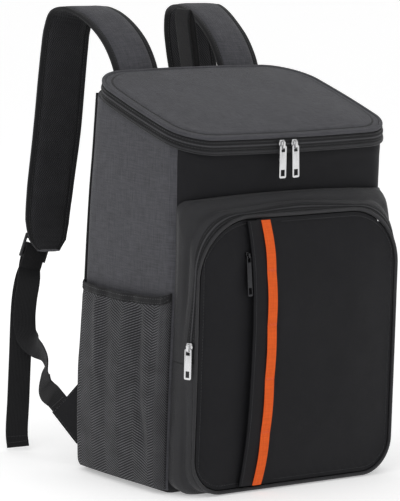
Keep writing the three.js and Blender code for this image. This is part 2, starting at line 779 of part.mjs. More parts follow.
function pocketPanel(columns, dip) {
  const grid = (back) => columns.map((x) => {
    const low = panelEdge(x, false);
    const high = panelEdge(x, true);
    return Array.from({ length: PANEL_ROWS + 1 }, (_, k) => {
      const share = k / PANEL_ROWS;
      const z = low + ((high - low) * (1 - Math.cos(Math.PI * share))) / 2;
      const edge = Math.sin(Math.PI * share) ** 0.5;
      return new THREE.Vector3(x, pocketFace(x, z) + dip(x) * edge + back, z);
    });
  });
  return wall(grid(0), grid(POCKET_PADDING));
}

// Columns across a panel, closer together at its ends
function panelColumns(from, to, steps) {
  const share = (k) => (1 - Math.cos((Math.PI * k) / steps)) / 2;
  return Array.from({ length: steps + 1 }, (_, k) => from + (to - from) * share(k));
}

const PANEL_SPLIT = PLACKET_X - 5;

function leftPanel() {
  const edge = -POCKET_WIDTH / 2 + PANEL_INSET;
  return pocketPanel(panelColumns(edge, PANEL_SPLIT - SEAM / 2, 7), leftDip);
}

function rightPanel() {
  const edge = POCKET_WIDTH / 2 - PANEL_INSET;
  return pocketPanel(panelColumns(edge, PANEL_SPLIT + SEAM / 2, 10), () => 0);
}

// The placket and the accent strap lean and bow a little: shares of the placket's width by height
const PLACKET_LINE = [
  { height: 0.0, shift: -0.16 },
  { height: 0.25, shift: -0.06 },
  { height: 0.6, shift: 0.02 },
  { height: 0.85, shift: -0.03 },
  { height: 1.0, shift: -0.15 },
];

function placketStrip(left, right, front, thickness, rows, thin) {
  const columns = 3;
  const low = panelEdge(PLACKET_X, false) + 1;
  const high = panelEdge(PLACKET_X, true) - 1;
  const grid = (back) => Array.from({ length: rows + 1 }, (_, i) => {
    const share = i / rows;
    const z = low + (high - low) * share;
    const shift = PLACKET_WIDTH * between(PLACKET_LINE, 'height', 'shift', share);
    return Array.from({ length: columns + 1 }, (__, j) => {
      const x = left + ((right - left) * j) / columns;
      return new THREE.Vector3(x + shift, pocketFace(x + shift, z) - front + back - thin(share), z);
    });
  });
  return wall(grid(0), grid(thickness));
}

function placket() {
  const left = PLACKET_X - PLACKET_WIDTH / 2;
  const front = SEAM + PLACKET_THICKNESS;
  return placketStrip(left, left + PLACKET_WIDTH, front, PLACKET_THICKNESS, 10, () => 0);
}

function accentStrap() {
  const right = PLACKET_X + PLACKET_WIDTH / 2;
  const front = 2 * SEAM + PLACKET_THICKNESS + ACCENT_THICKNESS;
  const length = panelEdge(PLACKET_X, true) - panelEdge(PLACKET_X, false);
  const slack = (share) => 1.1 * Math.abs(Math.sin((Math.PI * share * length) / ACCENT_PITCH));
  return placketStrip(right - ACCENT_WIDTH, right, front, ACCENT_THICKNESS, 20, slack);
}

// Mesh side pockets

// Columns of the mesh, in columns of the side panel: closer together on the flat
const MESH_COLUMNS = [0.5, 1, ...Array.from({ length: 13 }, (_, k) => 2 + (5 * k) / 12), 8, 8.5];
const MESH_LEVELS = [5.5, 9, 13];
const MESH_ROWS = 5;
const MESH_FLAT = -0.05;
const MESH_GATHERS = [
  { share: 0.2, depth: 0.22, width: 0.05 },
  { share: 0.42, depth: 0.3, width: 0.06 },
  { share: 0.62, depth: 0.34, width: 0.05 },
  { share: 0.8, depth: 0.22, width: 0.05 },
];

// A point of a side's face between two of its columns
function sideBetween(side, column, z, out) {
  const points = sidePoints(side, z);
  const k = Math.min(points.length - 2, Math.floor(column));
  const t = column - k;
  const mix = (key) => points[k][key] + (points[k + 1][key] - points[k][key]) * t;
  const move = swell(side, mix('share'), z) - baseInset(z) + out;
  const length = Math.hypot(mix('nx'), mix('ny'));
  return new THREE.Vector3(mix('x') + (mix('nx') / length) * move, mix('y') + (mix('ny') / length) * move, z);
}

function meshTop(forward) {
  return MESH_TOP * (1 + 0.0488 * forward ** 3 + 0.0244 * (1 - forward) ** 3);
}

// How far the mesh stands off the side: slack at the foot, gathered under the hem, flat beside the back seam
function meshProud(forward, up) {
  const across = Math.sin(Math.PI * forward) ** 0.55 * THREE.MathUtils.smoothstep(forward, MESH_FLAT, 0.22);
  const height = 0.3 + 0.7 * Math.sin(Math.PI * Math.min(1, 0.12 + 0.75 * up));
  let gather = 0;
  for (const fold of MESH_GATHERS) {
    const drift = fold.share + 0.04 * (1 - up);
    gather += fold.depth * up ** 0.7 * Math.exp(-(((forward - drift) / fold.width) ** 2));
  }
  return MESH_PROUD * across * height * (1 - gather);
}

// The mesh's columns on a side, from the back seam forward, each with its share of the way
function meshColumns(side) {
  const count = sidePoints(side, 0).length;
  const first = MESH_COLUMNS[0];
  const span = MESH_COLUMNS[MESH_COLUMNS.length - 1] - first;
  return MESH_COLUMNS.map((column) => ({
    column: side === 'left' ? column : count - 1 - column,
    forward: (column - first) / span,
  }));
}

const MESH_GAP = SEAM + 0.1;

function meshPocket(side) {
  const grid = (out) => meshColumns(side).map(({ column, forward }) => {
    const start = MESH_LEVELS[MESH_LEVELS.length - 1];
    const top = meshTop(forward) - HEM_HEIGHT - SEAM;
    const row = (j) => start + (top - start) * ((j + 1) / MESH_ROWS) ** 1.1;
    const rows = Array.from({ length: MESH_ROWS }, (_, j) => row(j));
    return [...MESH_LEVELS, ...rows].map((z) => {
      const up = (z - MESH_LEVELS[0]) / (top - MESH_LEVELS[0]);
      return sideBetween(side, column, z, MESH_GAP + out + meshProud(forward, up));
    });
  });
  return wall(grid(MESH_CLOTH), grid(0));
}

function meshHem(side) {
  const section = [[HEM_THICKNESS, 0], [HEM_THICKNESS, 1], [0, 1], [0, 0]];
  const loops = meshColumns(side).map(({ column, forward }) => {
    const top = meshTop(forward);
    return section.map(([out, up]) => sideBetween(
      side, column, top - HEM_HEIGHT * (1 - up), MESH_GAP + out + meshProud(forward, 1)));
  });
  return loft(loops);
}

// Straps and webbing. Each is made for the left and mirrored for the right

const HALF_SPACING = STRAP_SPACING / 2;
const BACK_Y = BODY_DEPTH / 2;
const BUCKLE_Z = 0.4668 * STRAP_TOP;
const TURN_SCALE = Math.PI / 180;

function routePoint(row, top) {
  return new THREE.Vector3(-HALF_SPACING * row.out, BACK_Y + STRAP_REACH * row.reach, top * row.rise);
}

// Cloth tab sewn into the back seam near the base. Its corners are at shares of its reach and of its height
const TAB_CORNERS = [[0, 0], [1, 0.48], [0.44, 0.76], [0, 1]].map(([x, z]) => (
  new THREE.Vector2(x * TAB_REACH, TAB_FOOT + z * TAB_HEIGHT)));
const TAB_ROOT = sidePoint('left', 0, TAB_FOOT, 2 * BACK_PIPING + 2 * SEAM);

function tabPoint(p) {
  const angle = TAB_TURN * TURN_SCALE;
  return new THREE.Vector3(TAB_ROOT.x + p.x * Math.cos(angle), TAB_ROOT.y + p.x * Math.sin(angle), p.y);
}

// The slanting edge that the webbing is sewn to
const TAB_EDGE = {
  middle: tabPoint(TAB_CORNERS[1].clone().lerp(TAB_CORNERS[2], 0.5)),
  along: tabPoint(TAB_CORNERS[2]).sub(tabPoint(TAB_CORNERS[1])).normalize(),
};
const TAB_BASE = new THREE.Vector2(0, TAB_CORNERS[2].y - TAB_CORNERS[1].y + TAB_FOOT);
TAB_EDGE.out = TAB_EDGE.middle.clone().sub(tabPoint(TAB_BASE));
TAB_EDGE.out.addScaledVector(TAB_EDGE.along, -TAB_EDGE.out.dot(TAB_EDGE.along)).normalize();

function strapTab() {
  const shape = new THREE.Shape(TAB_CORNERS);
  const tab = new THREE.ExtrudeGeometry(shape, { depth: TAB_THICKNESS, bevelEnabled: false });
  tab.translate(0, 0, -TAB_THICKNESS / 2);
  tab.rotateX(Math.PI / 2);
  tab.rotateZ(TAB_TURN * TURN_SCALE);
  tab.translate(TAB_ROOT.x, TAB_ROOT.y, 0);
  return plainGeometry(tab);
}

// A flat band along a route. Each row gives the direction of the band's width
function band({ centres, widths, width, thickness, steps, profile }) {
  const path = new THREE.CatmullRomCurve3(centres);
  const across = new THREE.CatmullRomCurve3(widths);
  const loops = [];
  for (let k = 0; k <= steps; k += 1) {
    const t = k / steps;
    const centre = path.getPoint(t);
    const along = path.getTangent(t);
    const side = across.getPoint(t).normalize();
    side.addScaledVector(along, -side.dot(along)).normalize();
    const up = new THREE.Vector3().crossVectors(along, side).normalize();
    const share = typeof width === 'function' ? width(t) : width;
    loops.push(profile.map(([s, h]) => centre.clone()
      .addScaledVector(side, (s * share) / 2).addScaledVector(up, (h * thickness) / 2)));
  }
  return loft(loops);
}

const FLAT = [[-1, -1], [1, -1], [1, 1], [-1, 1]];
const PADDED = [
  [-1, 0], [-0.93, -0.6], [-0.5, -1], [0.5, -1], [0.93, -0.6],
  [1, 0], [0.93, 0.6], [0.5, 1], [-0.5, 1], [-0.93, 0.6],
];

function widthVector(row) {
  const turn = row.turn * TURN_SCALE;
  const tilt = row.tilt * TURN_SCALE;
  return new THREE.Vector3(Math.cos(turn) * Math.cos(tilt), Math.sin(turn) * Math.cos(tilt), Math.sin(tilt));
}

function shoulderStrap(turned) {
  const centres = STRAP_ROUTE.map((row) => routePoint(row, STRAP_TOP));
  const widths = STRAP_ROUTE.map((row, k) => new THREE.Vector3(1, turned * row.turn - 0.02 * k, 0));
  const at = (t) => {
    const k = Math.min(STRAP_ROUTE.length - 2, Math.floor(t * (STRAP_ROUTE.length - 1)));
    const f = t * (STRAP_ROUTE.length - 1) - k;
    return STRAP_WIDTH * (STRAP_ROUTE[k].width * (1 - f) + STRAP_ROUTE[k + 1].width * f);
  };
  return band({ centres, widths, width: at, thickness: STRAP_THICKNESS, steps: 20, profile: PADDED });
}

// The buckle stands behind the strap's end: its centre, and the directions of its width and of its height
const BUCKLE_AT = new THREE.Vector3(-1.83 * HALF_SPACING, BACK_Y + 0.87 * STRAP_REACH, BUCKLE_Z - 6);
const BUCKLE_ACROSS = new THREE.Vector3(0.924, -0.239, -0.3).normalize();
const BUCKLE_UP = new THREE.Vector3(0.301, -0.078, 0.95).addScaledVector(BUCKLE_ACROSS, -0.0118).normalize();
const BUCKLE_AHEAD = new THREE.Vector3().crossVectors(BUCKLE_ACROSS, BUCKLE_UP);
const BUCKLE_SLOT = (BUCKLE_HEIGHT - 3 * BUCKLE_BAR) / 2;
const WRAP = BUCKLE_BAR * 0.72 + SEAM + WEBBING_THICKNESS / 2;

// A point of the buckle's plane, up from its middle and ahead of it
function byBuckle(up, ahead) {
  return BUCKLE_AT.clone().addScaledVector(BUCKLE_UP, up).addScaledVector(BUCKLE_AHEAD, -ahead);
}

// Webbing's turn round a bar of the buckle, over it or under it, from before it to behind it
function barTurn(offset, over) {
  return [0, 45, 90, 135, 180].map((degrees) => {
    const angle = degrees * TURN_SCALE;
    return byBuckle(offset + (over ? WRAP : -WRAP) * Math.sin(angle), -WRAP * Math.cos(angle));
  });
}

// Webbing sewn to the tab, up through the buckle, round its middle bar and down to the free end
function lowerWebbing() {
  const sewn = [0.5, 10].map((gap) => TAB_EDGE.middle.clone().addScaledVector(TAB_EDGE.out, gap));
  const level = -BUCKLE_HEIGHT / 2 - 3;
  const turn = [byBuckle(level, WRAP), ...barTurn(0, true).reverse(), byBuckle(level, -WRAP)];
  const rising = RISING_ROUTE.map((row) => routePoint(row, BUCKLE_Z));
  const falling = TAIL_ROUTE.map((row) => routePoint(row, BUCKLE_Z));
  const centres = [...sewn, ...rising, ...turn, ...falling];
  const widths = [
    ...sewn.map(() => TAB_EDGE.along),
    ...RISING_ROUTE.map(widthVector),
    ...turn.map(() => BUCKLE_ACROSS),
    ...TAIL_ROUTE.map(widthVector),
  ];
  return band({
    centres,
    widths,
    width: WEBBING_WIDTH,
    thickness: WEBBING_THICKNESS,
    steps: 2 * (centres.length - 1),
    profile: FLAT,
  });
}

// Short loop that holds the buckle's upper bar to the strap's outer face
function strapLoop() {
  const turn = barTurn(BUCKLE_SLOT + BUCKLE_BAR, false);
  const rise = BUCKLE_SLOT + BUCKLE_BAR;
  const centres = [
    byBuckle(rise + 26, -WRAP + 4), byBuckle(rise + 9, -WRAP + 0.6), ...turn,
    byBuckle(rise + 9, WRAP + 0.6), byBuckle(rise + 26, -WRAP + 6.4),
  ];
  return band({
    centres,
    widths: centres.map(() => BUCKLE_ACROSS),
    width: WEBBING_WIDTH,
    thickness: WEBBING_THICKNESS,
    steps: 2 * (centres.length - 1),
    profile: FLAT,
  });
}

const SPLAY_START = TAB_FOOT + TAB_HEIGHT + 2;
const SPLAY_END = BUCKLE_Z - BUCKLE_HEIGHT;

// The right strap and its hardware hang a little further out than the left ones, down to the tab
function mirrored(geometry) {
  const copy = geometry.clone();
  copy.scale(-1, 1, 1);
  const points = copy.attributes.position;
  for (let i = 0; i < points.count; i += 1) {
    const share = THREE.MathUtils.smoothstep(points.getZ(i), SPLAY_START, SPLAY_END);
    points.setX(i, points.getX(i) + STRAP_SPLAY * share);
  }
  copy.setIndex(Array.from(copy.index.array).reverse());
  return copy;
}

// Two-bar adjuster with a bar between its slots
function buckle() {
  const shape = new THREE.Shape();
  const w = BUCKLE_WIDTH / 2;
  const h = BUCKLE_HEIGHT / 2;
  shape.moveTo(-w, -h).lineTo(w, -h).lineTo(w, h).lineTo(-w, h).lineTo(-w, -h);
  for (const low of [-h + BUCKLE_BAR, BUCKLE_BAR / 2]) {
    const hole = new THREE.Path();
    const x = w - BUCKLE_BAR;
    const high = low + BUCKLE_SLOT;
    hole.moveTo(-x, low).lineTo(-x, high).lineTo(x, high).lineTo(x, low).lineTo(-x, low);
    shape.holes.push(hole);
  }
  const plate = new THREE.ExtrudeGeometry(shape, { depth: BUCKLE_BAR, bevelEnabled: false });
  plate.translate(0, 0, -BUCKLE_BAR / 2);
  const turn = new THREE.Matrix4().makeBasis(BUCKLE_ACROSS, BUCKLE_UP, BUCKLE_AHEAD);
  plate.applyMatrix4(turn.setPosition(BUCKLE_AT));
  return plainGeometry(plate);
}

function grabHandle() {
  const limb = [
    { side: 0.5, rise: -0.28 },
    { side: 0.5, rise: 0.1 },
    { side: 0.55, rise: 0.5 },
    { side: 0.45, rise: 0.88 },
  ];
  const rows = [...limb.map((row) => ({ ...row, side: -row.side })), { side: 0, rise: 1 }, ...limb.reverse()];
  const y = LID_DEPTH / 2 - LID_FORWARD + LID_BOW + RIM_PROUD + 2 * SEAM + HANDLE_WIDTH / 2 + 0.4;
  return band({
    centres: rows.map((row) => new THREE.Vector3(
      HANDLE_X + HANDLE_SPREAD * row.side - HANDLE_LEAN * row.rise,
      y + 4 * row.rise,
      BACK_HEIGHT - 4 + HANDLE_HEIGHT * row.rise,
    )),
    widths: rows.map(() => new THREE.Vector3(0, 1, 0)),
    width: HANDLE_WIDTH,
    thickness: HANDLE_THICKNESS,
    steps: 20,
    profile: FLAT,
  });
}

// Sliders and pullers. The slider's back is at y = 0 and it faces -Y; its puller hangs from the bail

const AXIS_Y = -SLIDER_DEPTH - 1.75;
const AXIS_Z = -1.6;

function slider(scale = 1) {
  const outline = new THREE.Shape();
  const w = SLIDER_WIDTH / 2;
  const h = SLIDER_HEIGHT / 2;
  outline.moveTo(-w * 0.55, -h).lineTo(w * 0.55, -h).lineTo(w, h * 0.2);
  outline.lineTo(w * 0.7, h).lineTo(-w * 0.7, h).lineTo(-w, h * 0.2);
  outline.lineTo(-w * 0.55, -h);
  const body = new THREE.ExtrudeGeometry(outline, { depth: SLIDER_DEPTH, bevelEnabled: false });
  body.rotateX(Math.PI / 2);
  const arch = new THREE.Shape();
  const top = SLIDER_DEPTH + 4.2;
  const foot = SLIDER_DEPTH - 0.5;
  arch.moveTo(foot, -4.1).lineTo(top - 1.2, -4.1).lineTo(top, -2.9);
  arch.lineTo(top, 2.9).lineTo(top - 1.2, 4.1).lineTo(foot, 4.1);
  arch.lineTo(foot, -4.1);
  const hole = new THREE.Path();
  const inner = SLIDER_DEPTH + 0.4;
  hole.moveTo(inner, -3).lineTo(inner, 3).lineTo(top - 1.1, 3).lineTo(top - 1.1, -3).lineTo(inner, -3);
  arch.holes.push(hole);
  const bail = new THREE.ExtrudeGeometry(arch, { depth: BAIL_WIDTH, bevelEnabled: false });
  bail.translate(0, 0, -BAIL_WIDTH / 2);
  bail.applyMatrix4(new THREE.Matrix4().makeBasis(
    new THREE.Vector3(0, -1, 0), new THREE.Vector3(0, 0, 1), new THREE.Vector3(-1, 0, 0)));
  const joined = geometryOf(manifoldOf(body).add(manifoldOf(bail)));
  joined.scale(scale, scale, scale);
  return joined;
}

// A flat puller with an eye for the bail and a window at its end, hanging from its axis at the origin
function puller(width, length) {
  const shape = new THREE.Shape();
  const w = width / 2;
  const top = 0.75;
  const cut = width * 0.14;
  shape.moveTo(-w + cut, -length).lineTo(w - cut, -length).lineTo(w, -length + cut);
  shape.lineTo(w, top - cut).lineTo(w - cut, top);
  shape.lineTo(-w + cut, top).lineTo(-w, top - cut).lineTo(-w, -length + cut).lineTo(-w + cut, -length);
  const window = (half, low, high) => {
    const hole = new THREE.Path();
    hole.moveTo(-half, low).lineTo(-half, high).lineTo(half, high).lineTo(half, low).lineTo(-half, low);
    shape.holes.push(hole);
  };
  const eye = Math.min(w - 1.1, 2.4);
  window(eye, -6.2, -0.75);
  window(w - 1.9 > 1.5 ? w - 1.9 : w - 1.1, -length + 2.2, -length + 9);
  const plate = new THREE.ExtrudeGeometry(shape, { depth: PULLER_THICKNESS, bevelEnabled: false });
  plate.translate(0, 0, -PULLER_THICKNESS / 2);
  plate.rotateX(Math.PI / 2);
  return plainGeometry(plate);
}

// Materials

const finish = (color, roughness, metalness = 0) => new THREE.MeshStandardMaterial({
  color, roughness, metalness, side: THREE.FrontSide,
});
const greyCloth = finish(0x55555a, 0.85);
const blackCloth = finish(0x26262a, 0.85);
const trimCloth = finish(0x1b1b1e, 0.8);
const zipTape = finish(0x222226, 0.8);
const meshCloth = finish(0x3a3a3d, 0.9);
const accentCloth = finish(0xf1602f, 0.75);
const webbing = finish(0x1e1e21, 0.8);
const steel = finish(0xb9babc, 0.3, 1);
const darkSteel = finish(0x4a4a4d, 0.35, 1);
const darkPlastic = finish(0x2c2c2f, 0.45);

const backpack = new THREE.Group();

function add(name, geometry, material, parent = backpack) {
  const mesh = new THREE.Mesh(geometry, material);
  mesh.name = name;
  parent.add(mesh);
  return mesh;
}

add('front_panel', bodyPanel('front'), blackCloth);
add('side_panel_left', bodyPanel('left'), greyCloth);
add('side_panel_right', bodyPanel('right'), greyCloth);
add('back_panel', bodyPanel('back'), blackCloth);
add('base_panel', basePanel(), blackCloth);
add('back_piping_left', backPiping('left'), trimCloth);
add('back_piping_right', backPiping('right'), trimCloth);
add('body_rim', bodyRim(), trimCloth);

add('lid_panel', lidPanel(), greyCloth);
add('lid_piping', lidPiping(), trimCloth);
add('lid_zip', lidZip(), zipTape);
add('lid_hinge', lidHinge(), zipTape);

add('pocket_gusset', upperGusset(), blackCloth);
add('pocket_gusset_lower', lowerGusset(), blackCloth);
add('pocket_zip', pocketZip(), zipTape);
add('pocket_piping', pocketPiping(), trimCloth);
add('pocket_panel_left', leftPanel(), blackCloth);
add('pocket_panel_right', rightPanel(), blackCloth);
add('placket', placket(), blackCloth);
add('accent_strap', accentStrap(), accentCloth);

for (const side of ['left', 'right']) {
  add(`mesh_pocket_${side}`, meshPocket(side), meshCloth);
  add(`mesh_hem_${side}`, meshHem(side), trimCloth);
}

add('shoulder_strap_left', shoulderStrap(0), greyCloth);
add('shoulder_strap_right', mirrored(shoulderStrap(1)), greyCloth);

const paired = {
  strap_loop: [strapLoop(), webbing],
  buckle: [buckle(), darkPlastic],
  lower_webbing: [lowerWebbing(), webbing],
  strap_tab: [strapTab(), blackCloth],
};
for (const [name, [geometry, material]] of Object.entries(paired)) {
  add(`${name}_left`, geometry, material);
  add(`${name}_right`, mirrored(geometry), material);
}
add('grab_handle', grabHandle(), webbing);

// A slider with its puller, placed by the middle of the slider's back
function addSlider(name, { at, turn = 0, lean = 0, scale = 1, width, length, swing = 0, material }) {
  const group = new THREE.Group();
  group.position.copy(at);
  group.rotation.set(lean, 0, turn, 'ZXY');
  backpack.add(group);
  add(name.replace('puller', 'slider'), slider(scale), material, group);
  const hung = new THREE.Group();
  hung.position.set(0, AXIS_Y * scale, AXIS_Z * scale);
  hung.rotation.y = swing;
  group.add(hung);
  add(name, puller(width, length), material, hung);
}

// The lid's two sliders meet on the front of its zip
for (const [side, x, swing] of [['left', -1, 0], ['right', 1, 0.04]]) {
  const at = new THREE.Vector3(LID_SLIDER_X + (x * LID_SLIDER_SPACING) / 2, 0, 0);
  const front = LID_DEPTH / 2 + LID_BOW * (1 - ((2 * at.x) / LID_WIDTH) ** 2);
  at.y = -front - LID_FORWARD - ZIP_PROUD - CHAIN_PROUD - SEAM;
  at.z = lidPlane(at.y) + ZIP_TOP - ZIP_HEIGHT / 2;
  addSlider(`lid_puller_${side}`, {
    at, width: PULLER_WIDTH, length: PULLER_LENGTH, swing: -swing, material: steel,
  });
}

// The pocket's slider is at the left, a little over the end of its zip
const [below, above] = [GUSSET_PATH[SEAM_LEFT], GUSSET_PATH[SEAM_LEFT - 1]];
const rise = (POCKET_SLIDER_Z - below.to.z) / (above.to.z - below.to.z);
const onZip = (across) => {
  const middle = ZIP_EDGE + POCKET_ZIP_WIDTH / 2 + across;
  const low = gussetPoint(below, below.length - middle, CHAIN_PROUD * 0.6 + SEAM, GUSSET_PUFF);
  return low.lerp(gussetPoint(above, above.length - middle, CHAIN_PROUD * 0.6 + SEAM, GUSSET_PUFF), rise);
};
const tangent = onZip(-4).sub(onZip(4));
addSlider('pocket_puller', {
  at: onZip(0),
  turn: Math.atan2(tangent.y, tangent.x),
  width: PULLER_WIDTH * 0.9,
  length: PULLER_LENGTH * 0.94,
  material: steel,
});

// The placket's slider is on the left panel, beside the placket
const sliderX = PLACKET_X - PLACKET_WIDTH / 2 - SLIDER_WIDTH * PLACKET_SLIDER * 0.5 - 6 * SEAM;
const faceAt = (z) => pocketFace(sliderX, z) + leftDip(sliderX);
addSlider('placket_puller', {
  at: new THREE.Vector3(sliderX, faceAt(PLACKET_SLIDER_Z) - 4 * SEAM, PLACKET_SLIDER_Z),
  lean: Math.atan2(faceAt(PLACKET_SLIDER_Z + 5) - faceAt(PLACKET_SLIDER_Z - 5), 10) * -1,
  scale: PLACKET_SLIDER,
  width: SMALL_PULLER_WIDTH,
  length: SMALL_PULLER_LENGTH,
  material: darkSteel,
});

export default backpack;
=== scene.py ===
import math

import bmesh
import bpy
from bpy.props import FloatProperty, FloatVectorProperty, IntProperty, PointerProperty
from mathutils import Matrix, Vector, noise
from mathutils.bvhtree import BVHTree


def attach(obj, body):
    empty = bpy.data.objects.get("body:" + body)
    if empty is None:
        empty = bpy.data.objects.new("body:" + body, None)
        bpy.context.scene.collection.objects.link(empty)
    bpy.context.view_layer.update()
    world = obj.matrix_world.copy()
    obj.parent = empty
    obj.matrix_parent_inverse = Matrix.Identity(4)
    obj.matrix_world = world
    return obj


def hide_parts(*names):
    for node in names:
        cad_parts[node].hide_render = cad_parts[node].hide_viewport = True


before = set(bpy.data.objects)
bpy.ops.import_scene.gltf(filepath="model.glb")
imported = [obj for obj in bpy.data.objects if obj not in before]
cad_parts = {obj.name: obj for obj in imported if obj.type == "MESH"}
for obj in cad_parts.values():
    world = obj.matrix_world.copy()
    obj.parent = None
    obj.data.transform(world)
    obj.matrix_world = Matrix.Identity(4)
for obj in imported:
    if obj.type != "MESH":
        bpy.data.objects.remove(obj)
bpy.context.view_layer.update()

bl_info = {
    "name": "Cooler backpack",
    "version": (1, 0, 0),
    "blender": (4, 5, 0),
    "location": "View3D > Sidebar > Cooler backpack",
    "description": "Sews the cloth, webbing, zips and stitching of a cooler backpack round its frame",
    "category": "Add Mesh",
}

MM = 0.001


def table(columns, rows):
    """Rows of a table whose columns have names"""
    return [dict(zip(columns.split(), row)) for row in rows]


# Sizes of the bag in millimetres, as in the frame

BODY_WIDTH, BODY_DEPTH, BACK_HEIGHT = 292, 175, 432.2
BODY_CORNER, BASE_ROUND, WALL, SEAM = 30, 13, 5, 0.3
WALL_BOTTOM = 3

LID_WIDTH, LID_DEPTH, LID_FALL, LID_FORWARD = 277.6, 182, 52.8, 9.8
LID_BOW, LID_DOME, LID_THICKNESS = 5, 8, 4
LID_CORNER_FRONT, LID_CORNER_BACK, LID_PIPING = 35, 43.4, 2.2
ZIP_HEIGHT, ZIP_THICKNESS, CHAIN_PROUD, ZIP_PROUD = 10, 1.8, 0.9, 1.4
RIM_HEIGHT, RIM_PROUD, RIM_REACH = 4.4, 2.8, 13
ZIP_TOP = -LID_PIPING - SEAM
WALL_TOP = LID_PIPING + SEAM + ZIP_HEIGHT + SEAM + RIM_HEIGHT + SEAM

POCKET_WIDTH, POCKET_TOP, POCKET_BOTTOM = 268, 296.7, 3
POCKET_PROUD_TOP, POCKET_PROUD_BOTTOM = 32, 28.3
POCKET_CORNER_TOP, POCKET_CORNER_BOTTOM = 65, 38
POCKET_CROWN, POCKET_PADDING, POCKET_PIPING = 12, 3.5, 2.1
POCKET_SEAM_TOP, POCKET_SEAM_BOW, POCKET_ZIP_END = 313, 5, 144
GUSSET_CLOTH, GUSSET_PUFF, POCKET_ZIP_WIDTH = 2, 3.5, 9
ZIP_EDGE = POCKET_PIPING + SEAM
GUSSET_EDGE = ZIP_EDGE + POCKET_ZIP_WIDTH + SEAM
PANEL_INSET = POCKET_PIPING + SEAM + 0.7

PLACKET_X, PLACKET_WIDTH, PLACKET_THICKNESS, PLACKET_DIP = -55, 28, 2.4, 6
ACCENT_WIDTH, ACCENT_THICKNESS, ACCENT_PITCH = 11.5, 1.3, 58
PANEL_SPLIT = PLACKET_X - 5

MESH_TOP, MESH_PROUD, MESH_CLOTH, MESH_FOOT = 205, 13, 1.2, 5.5
HEM_HEIGHT, HEM_THICKNESS = 8.5, 2.2
MESH_GAP = SEAM + 0.1

STRAP_WIDTH, STRAP_THICKNESS, STRAP_SPACING = 57, 7, 134
STRAP_REACH, STRAP_TOP, STRAP_SPLAY = 135, 1.15 * BACK_HEIGHT, 8
WEBBING_WIDTH, WEBBING_THICKNESS = 25, 1.7
BUCKLE_HEIGHT, BUCKLE_BAR, BUCKLE_Z = 27, 3, 0.4668 * STRAP_TOP
TAB_THICKNESS, TAB_HEIGHT, TAB_REACH, TAB_FOOT, TAB_TURN = 3, 69, 32.5, 24, 116.7
BACK_PIPING = 1.5
HANDLE_WIDTH, HANDLE_THICKNESS, HANDLE_HEIGHT = 25, 2.2, 69
HANDLE_SPREAD, HANDLE_LEAN, HANDLE_X = 8, 9, 14
HALF_SPACING = STRAP_SPACING / 2
BACK_Y = BODY_DEPTH / 2

BODY_SECTIONS = table("height width front back front_corner back_corner seam", [
    (0.0, 1.0, 1.0, 1.0, 0.5, 0.62, 45),
    (0.25, 0.988, 1.0, 1.0, 0.5, 0.62, 45),
    (0.5, 0.97, 1.0, 1.0, 0.52, 0.64, 44),
    (0.7, 0.965, 1.01, 1.0, 0.66, 0.85, 40),
    (0.82, 0.965, 1.06, 1.0, 0.85, 1.1, 33),
    (1.0, 0.96, 1.12, 1.0, 1.0, 1.35, 30),
])
SIDE_SWELL = table("height front right back left", [
    (0.0, 0, 0, 0, 0),
    (0.15, 0.2, 0.5, 0.4, 0.5),
    (0.6, 0.2, 0.8, 0.5, 0.8),
    (0.78, 0.7, 0.7, 0.4, 0.7),
    (1.0, 0.1, 0.1, 0.0, 0.1),
])
STRAP_ROUTE = table("out reach rise width turn", [
    (0.97, 0.032, 0.79, 0.92, 0),
    (0.98, 0.044, 0.832, 0.97, 0),
    (0.99, 0.068, 0.872, 1, 0),
    (1.0, 0.2, 0.925, 1, 0),
    (1.02, 0.38, 0.963, 1, 0),
    (1.06, 0.583, 0.988, 1, 0.1),
    (1.11, 0.76, 0.994, 1, 0.3),
    (1.16, 0.878, 0.978, 1, 0.5),
    (1.2, 0.917, 0.943, 1, 0.65),
    (1.24, 0.917, 0.903, 1, 0.7),
    (1.31, 0.9, 0.838, 1, 0.6),
    (1.46, 0.848, 0.72, 1, 0.35),
    (1.63, 0.815, 0.586, 0.96, 0.1),
    (1.73, 0.775, 0.517, 0.9, 0),
    (1.785, 0.725, 0.478, 0.76, 0),
    (1.815, 0.68, 0.455, 0.46, 0),
])
RISING_ROUTE = table("out reach rise turn tilt", [
    (2.28, 0.35, 0.345, -70, 48),
    (2.225, 0.4, 0.4, -95, 44),
    (2.19, 0.41, 0.458, -118, 40),
    (2.15, 0.507, 0.501, -112, 34),
    (2.11, 0.664, 0.521, -85, 22),
    (2.075, 0.805, 0.56, -50, 12),
    (2.06, 0.845, 0.625, -37, 2),
    (2.035, 0.848, 0.722, -37, 0),
    (2.0, 0.832, 0.82, -37, 0),
])
TAIL_ROUTE = table("out reach rise turn tilt", [
    (1.96, 0.905, 0.82, -37, 0),
    (2.03, 0.9, 0.721, -36, 0),
    (2.12, 0.86, 0.431, -35, 0),
    (2.18, 0.83, 0.238, -34, 0),
    (2.24, 0.8, 0.075, -34, 0),
    (2.275, 0.75, 0.018, -34, 0),
])
PLACKET_LINE = table("height shift", [
    (0.0, -0.16),
    (0.25, -0.06),
    (0.6, 0.02),
    (0.85, -0.03),
    (1.0, -0.15),
])
MESH_GATHERS = table("share depth width", [
    (0.2, 0.22, 0.05),
    (0.42, 0.3, 0.06),
    (0.62, 0.34, 0.05),
    (0.8, 0.22, 0.05),
])


# Forms of the bag, in millimetres

